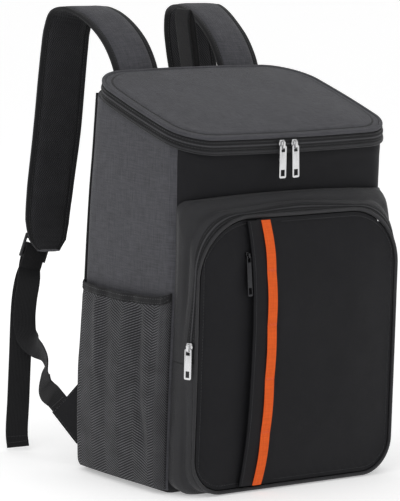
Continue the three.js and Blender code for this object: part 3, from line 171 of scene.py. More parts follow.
def between(rows, key, column, at):
    """Value of a column between the rows of a table, with rounded changes of slope"""
    last = len(rows) - 1
    k = 0
    while k < last - 1 and at > rows[k + 1][key]:
        k += 1
    start, stop = rows[k], rows[k + 1]
    span = stop[key] - start[key]
    t = min(1, max(0, (at - start[key]) / span))

    def slope(i):
        a, b = rows[max(0, i - 1)], rows[min(last, i + 1)]
        return (b[column] - a[column]) / (b[key] - a[key])

    t2, t3 = t * t, t * t * t
    return (start[column] * (2 * t3 - 3 * t2 + 1) + slope(k) * span * (t3 - 2 * t2 + t)
            + stop[column] * (3 * t2 - 2 * t3) + slope(k + 1) * span * (t3 - t2))


def bell(at, middle, width):
    """Smooth hump of height 1 round a place"""
    return math.exp(-((at - middle) / width) ** 2)


def arch(share):
    """Half a sine wave, 0 at both ends and 1 in the middle"""
    return max(0.0, math.sin(math.pi * share))


def ease(at, start, stop):
    """Rises smoothly from 0 to 1 between two places"""
    t = min(1, max(0, (at - start) / (stop - start)))
    return t * t * (3 - 2 * t)


def wander(x, y, z, size, seed=0):
    """Smooth noise between about -1 and 1 whose lumps have a size in millimetres"""
    return noise.noise(Vector((x / size + 17 * seed, y / size, z / size + 5 * seed)))


def lid_plane(y):
    return BACK_HEIGHT - (LID_FALL / LID_DEPTH) * (LID_DEPTH / 2 - LID_FORWARD - y)


SECTION_STORE = {}


def body_section(z):
    key = round(z, 3)
    if key not in SECTION_STORE:
        share = z / BACK_HEIGHT
        row = {c: between(BODY_SECTIONS, "height", c, share) for c in BODY_SECTIONS[0] if c != "height"}
        SECTION_STORE[key] = {
            "half_width": row["width"] * BODY_WIDTH / 2,
            "front": -row["front"] * BODY_DEPTH / 2,
            "back": row["back"] * BODY_DEPTH / 2,
            "front_corner": row["front_corner"] * BODY_CORNER,
            "back_corner": row["back_corner"] * BODY_CORNER,
            "seam": row["seam"],
        }
    return SECTION_STORE[key]


def base_inset(z):
    below = max(0, BASE_ROUND - z)
    return BASE_ROUND - math.sqrt(BASE_ROUND ** 2 - below ** 2)


SIDES = {
    "front": {"facing": -90, "columns": 8, "corners": ((-1, -1), (1, -1))},
    "right": {"facing": 0, "columns": 5, "corners": ((1, -1), (1, 1))},
    "back": {"facing": 90, "columns": 8, "corners": ((1, 1), (-1, 1))},
    "left": {"facing": 180, "columns": 5, "corners": ((-1, 1), (-1, -1))},
}
CORNER_COLUMNS = 2


def side_end(side):
    """Number of the last column of a side"""
    return SIDES[side]["columns"] + 2 * CORNER_COLUMNS


def side_at(side, column, z):
    """Place, direction and share of the way across of a side's face, at a column and a height"""
    section = body_section(z)
    facing = SIDES[side]["facing"]

    def corner(sx, sy):
        radius = section["front_corner"] if sy < 0 else section["back_corner"]
        edge = section["front"] if sy < 0 else section["back"]
        return sx * (section["half_width"] - radius), edge - sy * radius, radius

    start, end = (corner(*c) for c in SIDES[side]["corners"])
    seam = section["seam"]
    turns = {"front": (90 - seam, 90 - seam), "right": (seam, 45), "back": (45, 45), "left": (45, seam)}[side]
    spare = [(SEAM / 2 / (c[2] - WALL)) * 180 / math.pi for c in (start, end)]
    arcs = [max(0.1, turns[k] - spare[k]) for k in (0, 1)]
    face = math.radians(facing)
    first = (start[0] + math.cos(face) * start[2], start[1] + math.sin(face) * start[2])
    stop = (end[0] + math.cos(face) * end[2], end[1] + math.sin(face) * end[2])
    straight = math.hypot(stop[0] - first[0], stop[1] - first[1])
    lengths = [math.radians(arcs[0]) * start[2], straight, math.radians(arcs[1]) * end[2]]
    total = sum(lengths)
    flat_columns = SIDES[side]["columns"]
    if column <= CORNER_COLUMNS:
        t = column / CORNER_COLUMNS
        angle = math.radians(facing - arcs[0] * (1 - t))
        centre, run = start, lengths[0] * t
    elif column >= CORNER_COLUMNS + flat_columns:
        t = (column - CORNER_COLUMNS - flat_columns) / CORNER_COLUMNS
        angle = math.radians(facing + arcs[1] * t)
        centre, run = end, lengths[0] + straight + lengths[2] * t
    else:
        t = (column - CORNER_COLUMNS) / flat_columns
        x, y = first[0] + (stop[0] - first[0]) * t, first[1] + (stop[1] - first[1]) * t
        return x, y, math.cos(face), math.sin(face), (lengths[0] + straight * t) / total
    nx, ny = math.cos(angle), math.sin(angle)
    return centre[0] + nx * centre[2], centre[1] + ny * centre[2], nx, ny, run / total


def swell(side, share, z):
    return WALL * between(SIDE_SWELL, "height", side, z / BACK_HEIGHT) * math.sin(math.pi * share)


def side_point(side, column, z, out=0.0):
    """Point of a side's face, moved out by a distance"""
    x, y, nx, ny, share = side_at(side, column, z)
    move = swell(side, share, z) - base_inset(z) + out
    return Vector((x + nx * move, y + ny * move, z))


def side_top(side, column, out=0.0):
    z = BACK_HEIGHT
    for _ in range(4):
        z = lid_plane(side_point(side, column, z, out).y) - WALL_TOP
    return z


def lid_outline(fine=1):
    """Points of the lid's outline and their outward directions, from the back left corner round by the front"""
    a, b = LID_WIDTH / 2, LID_DEPTH / 2
    corner_steps = 5 * fine
    corners = [
        (-a, b, LID_CORNER_BACK, 90, 4 * fine),
        (-a, -b, LID_CORNER_FRONT, 180, 6 * fine),
        (a, -b, LID_CORNER_FRONT, 270, 4 * fine),
        (a, b, LID_CORNER_BACK, 0, 6 * fine),
    ]

    def arc(corner, k):
        x, y, radius, start, _ = corner
        angle = math.radians(start + 90 * k / corner_steps)
        sx, sy = math.copysign(1, x), math.copysign(1, y)
        return Vector((x - sx * radius + radius * math.cos(angle), y - sy * radius + radius * math.sin(angle)))

    points = []
    for i, corner in enumerate(corners):
        points += [arc(corner, k) for k in range(corner_steps + 1)]
        start, stop = points[-1], arc(corners[(i + 1) % 4], 0)
        points += [start.lerp(stop, k / corner[4]) for k in range(1, corner[4])]
    bowed = [Vector((
        p.x * (1 + (LID_BOW / a) * (1 - (p.y / b) ** 2)),
        p.y * (1 + (LID_BOW / b) * (1 - (p.x / a) ** 2)) - LID_FORWARD)) for p in points]
    outline = []
    for k, p in enumerate(bowed):
        along = (bowed[(k + 1) % len(bowed)] - bowed[k - 1]).normalized()
        outline.append((p, Vector((along.y, -along.x))))
    return outline


LID_FINE = 5
LID_OUTLINE = lid_outline(LID_FINE)
HINGE_START = len(LID_OUTLINE) - 6 * LID_FINE


def lid_point(place, out, up):
    """Point by the lid's outline: a distance out from it and a height over the lid's plane"""
    p, n = place
    y = p.y + n.y * out
    return Vector((p.x + n.x * out, y, lid_plane(y) + up))


def lid_dome(place, share, under=0.0):
    """Point of the lid's top, from its middle at 0 to its edge at 1"""
    p, n = place
    edge = LID_PIPING + 0.5 + SEAM
    x = (p.x - n.x * edge) * share
    y = (p.y - n.y * edge + LID_FORWARD) * share - LID_FORWARD
    dome = LID_DOME * (1 - share ** 2.6)
    return Vector((x, y, lid_plane(y) + LID_PIPING * 0.4 + dome - under))


def front_outline(half_width, bottom, top, corner_bottom, corner_top, fine=1):
    """Rounded outline on the bag's front, from the middle of the bottom to the right and round"""
    points = []
    round_steps = 6 * fine

    def arc(sx, z, radius, start):
        for k in range(round_steps + 1):
            angle = math.radians(start + 90 * k / round_steps)
            x = sx * (half_width - radius) + radius * math.cos(angle)
            points.append(Vector((x, z + radius * math.sin(angle))))

    def line(stop, steps):
        start = points[-1]
        points.extend(start.lerp(stop, k / steps) for k in range(1, steps))

    def rise(x, z):
        line(Vector((x, z)), 2 * fine)
        points.append(Vector((x, z)))

    arc(1, bottom + corner_bottom, corner_bottom, 270)
    rise(half_width, POCKET_ZIP_END)
    rise(half_width, top - corner_top)
    points.pop()
    arc(1, top - corner_top, corner_top, 0)
    line(Vector((-half_width + corner_top, top)), 5 * fine)
    arc(-1, top - corner_top, corner_top, 90)
    rise(-half_width, POCKET_ZIP_END)
    rise(-half_width, bottom + corner_bottom)
    points.pop()
    arc(-1, bottom + corner_bottom, corner_bottom, 180)
    line(Vector((half_width - corner_bottom, bottom)), 5 * fine)
    return points


def pocket_plane(z):
    share = (z - POCKET_BOTTOM) / (POCKET_TOP - POCKET_BOTTOM)
    return -BODY_DEPTH / 2 - (POCKET_PROUD_BOTTOM + (POCKET_PROUD_TOP - POCKET_PROUD_BOTTOM) * share)


def front_point(x, z, out):
    """Point on the body's front or its front corner, moved out by a distance"""
    s = body_section(z)
    over = abs(x) - (s["half_width"] - s["front_corner"])
    swelling = swell("front", 0.5 + x / (2 * s["half_width"]), z)
    if over <= 0:
        return Vector((x, s["front"] - swelling + base_inset(z) - out, z))
    sine = min(0.999, over / s["front_corner"])
    radius = s["front_corner"] - base_inset(z) + out + swelling
    sx = math.copysign(1, x)
    return Vector((
        sx * (s["half_width"] - s["front_corner"] + radius * sine),
        s["front"] + s["front_corner"] - radius * math.sqrt(1 - sine ** 2), z))


POCKET_FINE = 5
SEAM_RIGHT = 8 * POCKET_FINE
SEAM_LEFT = SEAM_RIGHT + 4 * POCKET_FINE + 12 * POCKET_FINE + 5 * POCKET_FINE


def gusset_path():
    """For each point of the pocket's outline: the gusset's seam on the body, its edge and its directions"""
    pocket = front_outline(
        POCKET_WIDTH / 2, POCKET_BOTTOM, POCKET_TOP, POCKET_CORNER_BOTTOM, POCKET_CORNER_TOP, POCKET_FINE)
    body = front_outline(
        BODY_WIDTH / 2, WALL_BOTTOM + 1, POCKET_SEAM_TOP, BODY_CORNER * 0.5, BODY_CORNER * 0.3, POCKET_FINE)
    path = []
    for p, seam in zip(pocket, body):
        if seam.y > POCKET_SEAM_TOP - 1:
            seam.y += POCKET_SEAM_BOW * (1 - (2 * seam.x / BODY_WIDTH) ** 2)
        s = body_section(seam.y)
        reach = s["half_width"] - s["front_corner"] * (1 - math.cos(math.radians(s["seam"])))
        start = front_point(seam.x * reach / (BODY_WIDTH / 2), seam.y, SEAM + GUSSET_CLOTH)
        stop = Vector((p.x, pocket_plane(p.y), p.y))
        radial = Vector((stop.x, 0, stop.z - (POCKET_TOP + POCKET_BOTTOM) / 2)).normalized()
        along = (stop - start).normalized()
        out = (radial - along * radial.dot(along)).normalized()
        length = (stop - start).length
        path.append({"start": start, "stop": stop, "along": along, "out": out, "length": length})
    return path


GUSSET_PATH = gusset_path()


def gusset_point(p, distance, out, puff=GUSSET_PUFF):
    t = distance / p["length"]
    return p["start"] + p["along"] * distance + p["out"] * (out + puff * math.sin(math.pi * t))


def panel_edge(x, upper):
    half = POCKET_WIDTH / 2
    corner = POCKET_CORNER_TOP if upper else POCKET_CORNER_BOTTOM
    over = max(0, abs(x) - (half - corner))
    rise = corner - math.sqrt(max(0, (corner - PANEL_INSET) ** 2 - over ** 2))
    return POCKET_TOP - rise if upper else POCKET_BOTTOM + rise


def pocket_face(x, z):
    half = POCKET_WIDTH / 2 - PANEL_INSET
    low, high = panel_edge(x, False), panel_edge(x, True)
    across = min(1, abs(x) / half)
    up = min(1, abs(2 * (z - low) / (high - low) - 1))
    return pocket_plane(z) - POCKET_CROWN * (1 - across ** 3.2) * (1 - up ** 3.2)


def left_dip(x):
    return PLACKET_DIP * math.exp(-(max(0, PLACKET_X - x - 6) / 26) ** 2)


def mesh_top(forward):
    return MESH_TOP * (1 + 0.0488 * forward ** 3 + 0.0244 * (1 - forward) ** 3)


def mesh_proud(forward, up):
    flat = min(1, max(0, (forward + 0.05) / 0.27))
    across = arch(forward) ** 0.55 * flat * flat * (3 - 2 * flat)
    height = 0.3 + 0.7 * math.sin(math.pi * min(1, 0.12 + 0.75 * up))
    gather = 0
    for fold in MESH_GATHERS:
        drift = fold["share"] + 0.04 * (1 - up)
        gather += fold["depth"] * max(0, up) ** 0.7 * bell(forward, drift, fold["width"])
    return MESH_PROUD * across * height * (1 - gather)


class Route:
    """Smooth curve through points, evenly weighted by the root of their distances"""

    def __init__(self, points):
        self.points = points

    def at(self, t):
        points, last = self.points, len(self.points) - 1
        place = min(1, max(0, t)) * last
        k = min(last - 1, int(place))
        w = place - k
        p1, p2 = points[k], points[k + 1]
        p0 = points[k - 1] if k > 0 else p1 * 2 - p2
        p3 = points[k + 2] if k + 2 <= last else p2 * 2 - p1
        d1 = max((p2 - p1).length, 1e-8) ** 0.5
        if d1 < 1e-4:
            d1 = 1
        d0, d2 = (p1 - p0).length ** 0.5, (p3 - p2).length ** 0.5
        d0 = d0 if d0 > 1e-4 else d1
        d2 = d2 if d2 > 1e-4 else d1
        m1 = ((p1 - p0) / d0 - (p2 - p0) / (d0 + d1) + (p2 - p1) / d1) * d1
        m2 = ((p2 - p1) / d1 - (p3 - p1) / (d1 + d2) + (p3 - p2) / d2) * d1
        return (p1 + m1 * w + (p2 * 3 - p1 * 3 - m1 * 2 - m2) * w ** 2
                + (p1 * 2 - p2 * 2 + m1 + m2) * w ** 3)

    def tangent(self, t):
        step = 1e-4
        return (self.at(t + step) - self.at(t - step)).normalized()


class Band:
    """Flat strap along a route: its middle line, its directions and its width"""

    def __init__(self, centres, widths, width, thickness, steps):
        route, across = Route(centres), Route(widths)
        self.rows = []
        self.thickness = thickness
        run, before = 0.0, None
        for k in range(steps + 1):
            t = k / steps
            centre, along = route.at(t), route.tangent(t)
            side = across.at(t).normalized()
            side = (side - along * side.dot(along)).normalized()
            up = along.cross(side).normalized()
            if before is not None:
                run += (centre - before).length
            before = centre
            half = (width(t) if callable(width) else width) / 2
            self.rows.append({"t": t, "run": run, "centre": centre, "side": side, "up": up, "half": half})
        self.length = run

    def point(self, row, s, h):
        """Point of a row at a share of its half width and a share of its half thickness"""
        return row["centre"] + row["side"] * (s * row["half"]) + row["up"] * (h * self.thickness / 2)

    def loops(self, profile, shape=None):
        out = []
        for row in self.rows:
            extra = shape(row) if shape else None
            out.append([self.point(row, s, h + (extra(s, h) if extra else 0)) for s, h in profile])
        return out


def route_point(row, top):
    return Vector((-HALF_SPACING * row["out"], BACK_Y + STRAP_REACH * row["reach"], top * row["rise"]))


def width_vector(row):
    turn, tilt = math.radians(row["turn"]), math.radians(row["tilt"])
    return Vector((math.cos(turn) * math.cos(tilt), math.sin(turn) * math.cos(tilt), math.sin(tilt)))


TAB_SHARES = [(0, 0), (1, 0.48), (0.44, 0.76), (0, 1)]
TAB_CORNERS = [Vector((x * TAB_REACH, TAB_FOOT + z * TAB_HEIGHT)) for x, z in TAB_SHARES]
TAB_ROOT = side_point("left", 0, TAB_FOOT, 2 * BACK_PIPING + 2 * SEAM)


def tab_point(x, z, out=0.0):
    angle = math.radians(TAB_TURN)
    return Vector((
        TAB_ROOT.x + x * math.cos(angle) + out * math.sin(angle),
        TAB_ROOT.y + x * math.sin(angle) - out * math.cos(angle), z))


def tab_edge():
    """Middle, direction and outward direction of the tab's slanting edge"""
    middle = tab_point(*TAB_CORNERS[1].lerp(TAB_CORNERS[2], 0.5))
    along = (tab_point(*TAB_CORNERS[2]) - tab_point(*TAB_CORNERS[1])).normalized()
    out = middle - tab_point(0, TAB_CORNERS[2].y - TAB_CORNERS[1].y + TAB_FOOT)
    out = (out - along * out.dot(along)).normalized()
    return middle, along, out


BUCKLE_AT = Vector((-1.83 * HALF_SPACING, BACK_Y + 0.87 * STRAP_REACH, BUCKLE_Z - 6))
BUCKLE_ACROSS = Vector((0.924, -0.239, -0.3)).normalized()
BUCKLE_UP = (Vector((0.301, -0.078, 0.95)) + BUCKLE_ACROSS * -0.0118).normalized()
BUCKLE_AHEAD = BUCKLE_ACROSS.cross(BUCKLE_UP)
BUCKLE_SLOT = (BUCKLE_HEIGHT - 3 * BUCKLE_BAR) / 2
WRAP = BUCKLE_BAR * 0.72 + SEAM + WEBBING_THICKNESS / 2


def by_buckle(up, ahead):
    return BUCKLE_AT + BUCKLE_UP * up - BUCKLE_AHEAD * ahead


def bar_turn(offset, over):
    reach = WRAP if over else -WRAP
    return [by_buckle(offset + reach * math.sin(math.radians(d)), -WRAP * math.cos(math.radians(d)))
            for d in (0, 45, 90, 135, 180)]


def splayed(point):
    """A point of the left strap's parts, moved to the right strap"""
    low = TAB_FOOT + TAB_HEIGHT + 2
    t = min(1, max(0, (point.z - low) / (BUCKLE_Z - BUCKLE_HEIGHT - low)))
    return Vector((-point.x + STRAP_SPLAY * t * t * (3 - 2 * t), point.y, point.z))


def strap_band(steps, turned=0):
    def width(t):
        last = len(STRAP_ROUTE) - 1
        k = min(last - 1, int(t * last))
        f = t * last - k
        return STRAP_WIDTH * (STRAP_ROUTE[k]["width"] * (1 - f) + STRAP_ROUTE[k + 1]["width"] * f)

    centres = [route_point(row, STRAP_TOP) for row in STRAP_ROUTE]
    widths = [Vector((1, turned * row["turn"] - 0.02 * k, 0)) for k, row in enumerate(STRAP_ROUTE)]
    return Band(centres, widths, width, STRAP_THICKNESS, steps)


def lower_webbing_band(steps):
    middle, along, out = tab_edge()
    sewn = [middle + out * gap for gap in (0.5, 10)]
    level = -BUCKLE_HEIGHT / 2 - 3
    turn = [by_buckle(level, WRAP), *reversed(bar_turn(0, True)), by_buckle(level, -WRAP)]
    centres = [*sewn, *(route_point(r, BUCKLE_Z) for r in RISING_ROUTE), *turn,
               *(route_point(r, BUCKLE_Z) for r in TAIL_ROUTE)]
    widths = [*(along.copy() for _ in sewn), *map(width_vector, RISING_ROUTE),
              *(BUCKLE_ACROSS.copy() for _ in turn), *map(width_vector, TAIL_ROUTE)]
    return Band(centres, widths, WEBBING_WIDTH, WEBBING_THICKNESS, steps)


def loop_band(steps):
    turn = bar_turn(BUCKLE_SLOT + BUCKLE_BAR, False)
    rise = BUCKLE_SLOT + BUCKLE_BAR
    centres = [by_buckle(rise + 26, -WRAP + 4), by_buckle(rise + 9, -WRAP + 0.6), *turn,
               by_buckle(rise + 9, WRAP + 0.6), by_buckle(rise + 26, -WRAP + 6.4)]
    return Band(centres, [BUCKLE_ACROSS.copy() for _ in centres], WEBBING_WIDTH, WEBBING_THICKNESS, steps)


def handle_band(steps):
    limb = [(0.5, -0.28), (0.5, 0.1), (0.55, 0.5), (0.45, 0.88)]
    rows = [(-side, rise) for side, rise in limb] + [(0, 1)] + limb[::-1]
    y = LID_DEPTH / 2 - LID_FORWARD + LID_BOW + RIM_PROUD + 2 * SEAM + HANDLE_WIDTH / 2 + 0.4
    centres = [Vector((
        HANDLE_X + HANDLE_SPREAD * side - HANDLE_LEAN * rise,
        y + 4 * rise,
        BACK_HEIGHT - 4 + HANDLE_HEIGHT * rise,
    )) for side, rise in rows]
    return Band(centres, [Vector((0, 1, 0)) for _ in rows], HANDLE_WIDTH, HANDLE_THICKNESS, steps)


# Making meshes

def sewn_piece(name, verts, faces, uvs=None, slots=None, sharp=50):
    """Object from points in millimetres, faces, a cloth place for each point and a finish for each face"""
    mesh = bpy.data.meshes.new(name)
    mesh.from_pydata([tuple(v * MM) for v in verts], [], faces)
    if uvs is not None:
        layer = mesh.uv_layers.new(name="Cloth")
        loops = mesh.loops
        for loop in loops:
            u, v = uvs[loop.vertex_index]
            layer.data[loop.index].uv = (u * MM, v * MM)
    if slots is not None:
        mesh.polygons.foreach_set("material_index", slots)
    fixed = bmesh.new()
    fixed.from_mesh(mesh)
    bmesh.ops.recalc_face_normals(fixed, faces=fixed.faces)
    if fixed.calc_volume(signed=True) < 0:
        bmesh.ops.reverse_faces(fixed, faces=fixed.faces)
    fixed.to_mesh(mesh)
    fixed.free()
    mesh.polygons.foreach_set("use_smooth", [True] * len(mesh.polygons))
    mesh.set_sharp_from_angle(angle=math.radians(sharp))
    mesh.update()
    piece = bpy.data.objects.new(name, mesh)
    bpy.context.scene.collection.objects.link(piece)
    return piece


def settle(piece, finish, nodes=(), body="pack"):
    """Gives a piece its finish, its body and the CAD nodes that it stands for"""
    for one in finish if isinstance(finish, (list, tuple)) else [finish]:
        piece.data.materials.append(one)
    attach(piece, body)
    if nodes:
        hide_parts(*nodes)
    return piece


def wall_piece(name, outer, inner, uv, sharp=50):
    """Closed wall between two grids of points, outer[i][j] and inner[i][j]"""
    rows, columns = len(outer), len(outer[0])
    verts = [p for row in outer for p in row] + [p for row in inner for p in row]
    uvs = [p for row in uv for p in row] * 2
    offset = rows * columns
    faces = []
    for i in range(rows - 1):
        for j in range(columns - 1):
            a, b, c, d = i * columns + j, i * columns + j + 1, (i + 1) * columns + j + 1, (i + 1) * columns + j
            faces += [(a, b, c, d), (offset + d, offset + c, offset + b, offset + a)]
    border = ([j for j in range(columns)] + [i * columns + columns - 1 for i in range(1, rows)]
              + [(rows - 1) * columns + j for j in range(columns - 2, -1, -1)]
              + [i * columns for i in range(rows - 2, 0, -1)])
    for k, a in enumerate(border):
        b = border[(k + 1) % len(border)]
        faces.append((b, a, offset + a, offset + b))
    return sewn_piece(name, verts, faces, uvs, sharp=sharp)


def loft_piece(name, loops, closed=False, runs=None, slot_of=None, sharp=50):
    """Loops of the same number of points joined in a row, capped at both ends when open"""
    count = len(loops[0])
    verts = [p for loop in loops for p in loop]
    if runs is None:
        runs, run = [], 0.0
        for k, loop in enumerate(loops):
            if k:
                run += sum((a - b).length for a, b in zip(loop, loops[k - 1])) / count
            runs.append(run)
    girth = [0.0]
    for a, b in zip(loops[len(loops) // 2], loops[len(loops) // 2][1:]):
        girth.append(girth[-1] + (b - a).length)
    uvs = [(runs[i], girth[j]) for i in range(len(loops)) for j in range(count)]
    faces, slots = [], []
    rows = len(loops) if closed else len(loops) - 1
    for i in range(rows):
        n = (i + 1) % len(loops)
        for j in range(count):
            k = (j + 1) % count
            faces.append((i * count + j, n * count + j, n * count + k, i * count + k))
            slots.append(slot_of(j) if slot_of else 0)
    if not closed:
        end = (len(loops) - 1) * count
        faces.append(tuple(range(count)))
        faces.append(tuple(end + j for j in reversed(range(count))))
        slots += [0, 0]
    return sewn_piece(name, verts, faces, uvs, slots, sharp)


def machined_piece(name, node, bevel, segments=2):
    """Hard piece with the CAD node's form and rounded edges"""
    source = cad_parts[node]
    form = bmesh.new()
    form.from_mesh(source.data)
    bmesh.ops.remove_doubles(form, verts=form.verts, dist=1e-6)
    bmesh.ops.recalc_face_normals(form, faces=form.faces)
    bmesh.ops.dissolve_limit(form, angle_limit=math.radians(1), verts=form.verts, edges=form.edges)
    edges = [e for e in form.edges if len(e.link_faces) == 2 and e.calc_face_angle(0) > math.radians(25)]
    bmesh.ops.bevel(form, geom=edges, offset=bevel * MM, segments=segments, affect="EDGES", profile=0.5,
                    clamp_overlap=True)
    mesh = bpy.data.meshes.new(name)
    form.to_mesh(mesh)
    form.free()
    mesh.polygons.foreach_set("use_smooth", [True] * len(mesh.polygons))
    mesh.set_sharp_from_angle(angle=math.radians(40))
    piece = bpy.data.objects.new(name, mesh)
    bpy.context.scene.collection.objects.link(piece)
    return piece


def grid_area(grid):
    """Area of a grid of points, in square metres"""
    total = 0.0
    for a, b in zip(grid, grid[1:]):
        for p, q, r, s in zip(a, a[1:], b[1:], b):
            total += ((r - p).cross(s - q)).length / 2
    return total * MM * MM


def declare_sheet(grid):
    """Works out the area of a piece's outer face, which is then not used"""
    area = grid_area(grid)


# Finishes

class Shade:
    """A number that varies over a surface. Python's operators add its Math nodes"""

    def __init__(self, finish, socket):
        self.finish = finish
        self.socket = socket

    def _math(self, operation, *values):
        node = self.finish.node("ShaderNodeMath", {"operation": operation}, dict(enumerate(values)))
        return Shade(self.finish, node.outputs[0])

    def __add__(self, other):
        return self._math("ADD", self, other)

    def __radd__(self, other):
        return self._math("ADD", other, self)

    def __sub__(self, other):
        return self._math("SUBTRACT", self, other)

    def __rsub__(self, other):
        return self._math("SUBTRACT", other, self)

    def __mul__(self, other):
        return self._math("MULTIPLY", self, other)

    def __rmul__(self, other):
        return self._math("MULTIPLY", other, self)

    def __gt__(self, other):
        return self._math("GREATER_THAN", self, other)

    def __abs__(self):
        return self._math("ABSOLUTE", self)

    def sine(self):
        return self._math("SINE", self)

    def wave(self, period):
        """Sine with a period"""
        return (self * (2 * math.pi / period)).sine()

    def zigzag(self, half_period):
        return self._math("PINGPONG", self, half_period)

    def power(self, exponent):
        return self._math("POWER", self, exponent)

    def limit(self, low, high):
        return self._math("MAXIMUM", self._math("MINIMUM", self, high), low)


class Finish:
    """Node tree of one material"""

    def __init__(self, name):
        self.material = bpy.data.materials.new(name)
        self.material.use_nodes = True
        self.tree = self.material.node_tree
        self.tree.nodes.clear()

    def node(self, kind, settings=None, values=None):
        """A node with its settings, and the values or links of its sockets"""
        node = self.tree.nodes.new(kind)
        for key, value in (settings or {}).items():
            if key == "stops":
                elements = node.color_ramp.elements
                while len(elements) < len(value):
                    elements.new(1)
                for element, (place, colour) in zip(elements, value):
                    element.position = place
                    element.color = (*colour, 1)
            else:
                setattr(node, key, value)
        for key, value in (values or {}).items():
            socket = node.inputs[key]
            if isinstance(value, Shade):
                self.tree.links.new(value.socket, socket)
            elif isinstance(value, bpy.types.NodeSocket):
                self.tree.links.new(value, socket)
            else:
                socket.default_value = value
        return node

    def object_place(self):
        return self.node("ShaderNodeTexCoord").outputs["Object"]

    def cloth_place(self):
        """Lengths along and across the cloth, in metres"""
        uv = self.node("ShaderNodeUVMap", {"uv_map": "Cloth"})
        parts = self.node("ShaderNodeSeparateXYZ", None, {0: uv.outputs[0]})
        return Shade(self, parts.outputs[0]), Shade(self, parts.outputs[1])

    def noise(self, size, detail=2.0, stretch=(1, 1, 1), place=None):
        """Noise between 0 and 1 whose lumps have a size in metres"""
        mapping = self.node("ShaderNodeMapping", None, {
            "Vector": place or self.object_place(), "Scale": tuple(s / size for s in stretch)})
        node = self.node("ShaderNodeTexNoise", None, {
            "Vector": mapping.outputs[0], "Scale": 1.0, "Detail": detail, "Roughness": 0.55})
        return Shade(self, node.outputs["Fac"])

    def blend(self, factor, first, second):
        """Colour between two colours"""
        node = self.node("ShaderNodeMix", {"data_type": "RGBA"}, {
            0: factor, 6: self._colour(first), 7: self._colour(second)})
        return node.outputs[2]

    @staticmethod
    def _colour(colour):
        if isinstance(colour, bpy.types.NodeSocket):
            return colour
        return (*colour, 1)

    def bump(self, height, distance, strength=1.0, normal=None):
        values = {"Height": height, "Distance": distance, "Strength": strength}
        if normal is not None:
            values["Normal"] = normal
        return self.node("ShaderNodeBump", None, values).outputs[0]

    def finish(self, varying, fixed=None):
        """Principled shader: what varies over the surface, and what is the same all over it"""
        shader = self.node("ShaderNodeBsdfPrincipled", None, {**(fixed or {}), **varying})
        self.node("ShaderNodeOutputMaterial", None, {"Surface": shader.outputs[0]})
        return self.material


def scaled(colour, factor):
    return tuple(min(1.0, c * factor) for c in colour)


def woven(name, colour, pitch, contrast=0.3, slub=0.25, roughness=0.82, bump=0.00012, sheen=0.1, mottle=0.12,
          specular=0.22, painted_glow=0.0):
    """Plain-woven cloth: yarns over and under, slubs along both yarns and slow changes of tone, and a painted glow
    of its own colour
    """
    f = Finish(name)
    u, v = f.cloth_place()
    warp, weft = u.wave(2 * pitch), v.wave(2 * pitch)
    over = (warp * weft) > 0.0
    relief = abs(warp) * over + abs(weft) * (1.0 - over)
    uv = f.node("ShaderNodeUVMap", {"uv_map": "Cloth"}).outputs[0]
    along = f.noise(0.0016, 1.0, (0.09, 1, 1), uv)
    across = f.noise(0.0016, 1.0, (1, 0.09, 1), uv)
    slubs = (along + across - 1.0) * (2.6 * slub)
    tone = (f.noise(0.045, 3.0) - 0.5) * (2 * mottle)
    light = (1.0 + slubs + tone - (1.0 - relief) * contrast).limit(0.3, 1.7)
    shade = f.blend(light * 0.5, scaled(colour, 0.0), scaled(colour, 2.0))
    height = relief + slubs * 0.8
    normal = f.bump(height, bump)
    rough = (roughness + (f.noise(0.02, 2.0) - 0.5) * 0.14).limit(0.2, 1.0)
    return f.finish({"Base Color": shade, "Roughness": rough, "Normal": normal}, {
        "Sheen Weight": sheen, "Sheen Roughness": 0.45, "Specular IOR Level": specular,
        "Emission Color": (*colour, 1), "Emission Strength": painted_glow})


def ribbed(name, colour, rib, roughness=0.75, sheen=0.08, across=0.0016):
    """Woven webbing or grosgrain: ribs along it and fine picks across it"""
    f = Finish(name)
    u, v = f.cloth_place()
    ribs = abs(v.wave(2 * rib))
    picks = abs(u.wave(2 * across))
    relief = ribs.power(0.7) * (0.6 + picks * 0.4)
    tone = (f.noise(0.006, 3.0) - 0.5) * 0.5
    light = (0.72 + relief * 0.4 + tone).limit(0.3, 1.7)
    shade = f.blend(light * 0.5, scaled(colour, 0.0), scaled(colour, 2.0))
    normal = f.bump(relief, 0.0004, 0.9)
    rough = (roughness + (f.noise(0.012, 2.0) - 0.5) * 0.15).limit(0.2, 1.0)
    return f.finish({"Base Color": shade, "Roughness": rough, "Normal": normal}, {
        "Sheen Weight": sheen, "Sheen Roughness": 0.4, "Specular IOR Level": 0.25})


def knitted(name, dark, light, spacing, column, rise):
    """Knitted mesh whose cords run in a herringbone, with dark gaps between them"""
    f = Finish(name)
    u, v = f.cloth_place()
    slant = v + u.zigzag(column) * rise
    cord = (abs(slant.wave(2 * spacing)) * 1.25 - 0.2).limit(0.0, 1.0)
    cell = abs((v - u.zigzag(column) * rise).wave(2 * spacing)).power(0.5)
    tone = f.noise(0.02, 3.0)
    weight = (cord.power(1.9) * (0.3 + cell * 0.7) * (0.35 + tone * 1.2)).limit(0.0, 1.0)
    shade = f.blend(weight, dark, light)
    normal = f.bump(cord * (0.5 + cell * 0.5), 0.0007, 0.9)
    rough = (0.9 - weight * 0.35).limit(0.3, 1.0)
    return f.finish({"Base Color": shade, "Roughness": rough, "Normal": normal}, {
        "Sheen Weight": 0.05, "Sheen Roughness": 0.5, "Specular IOR Level": 0.25})


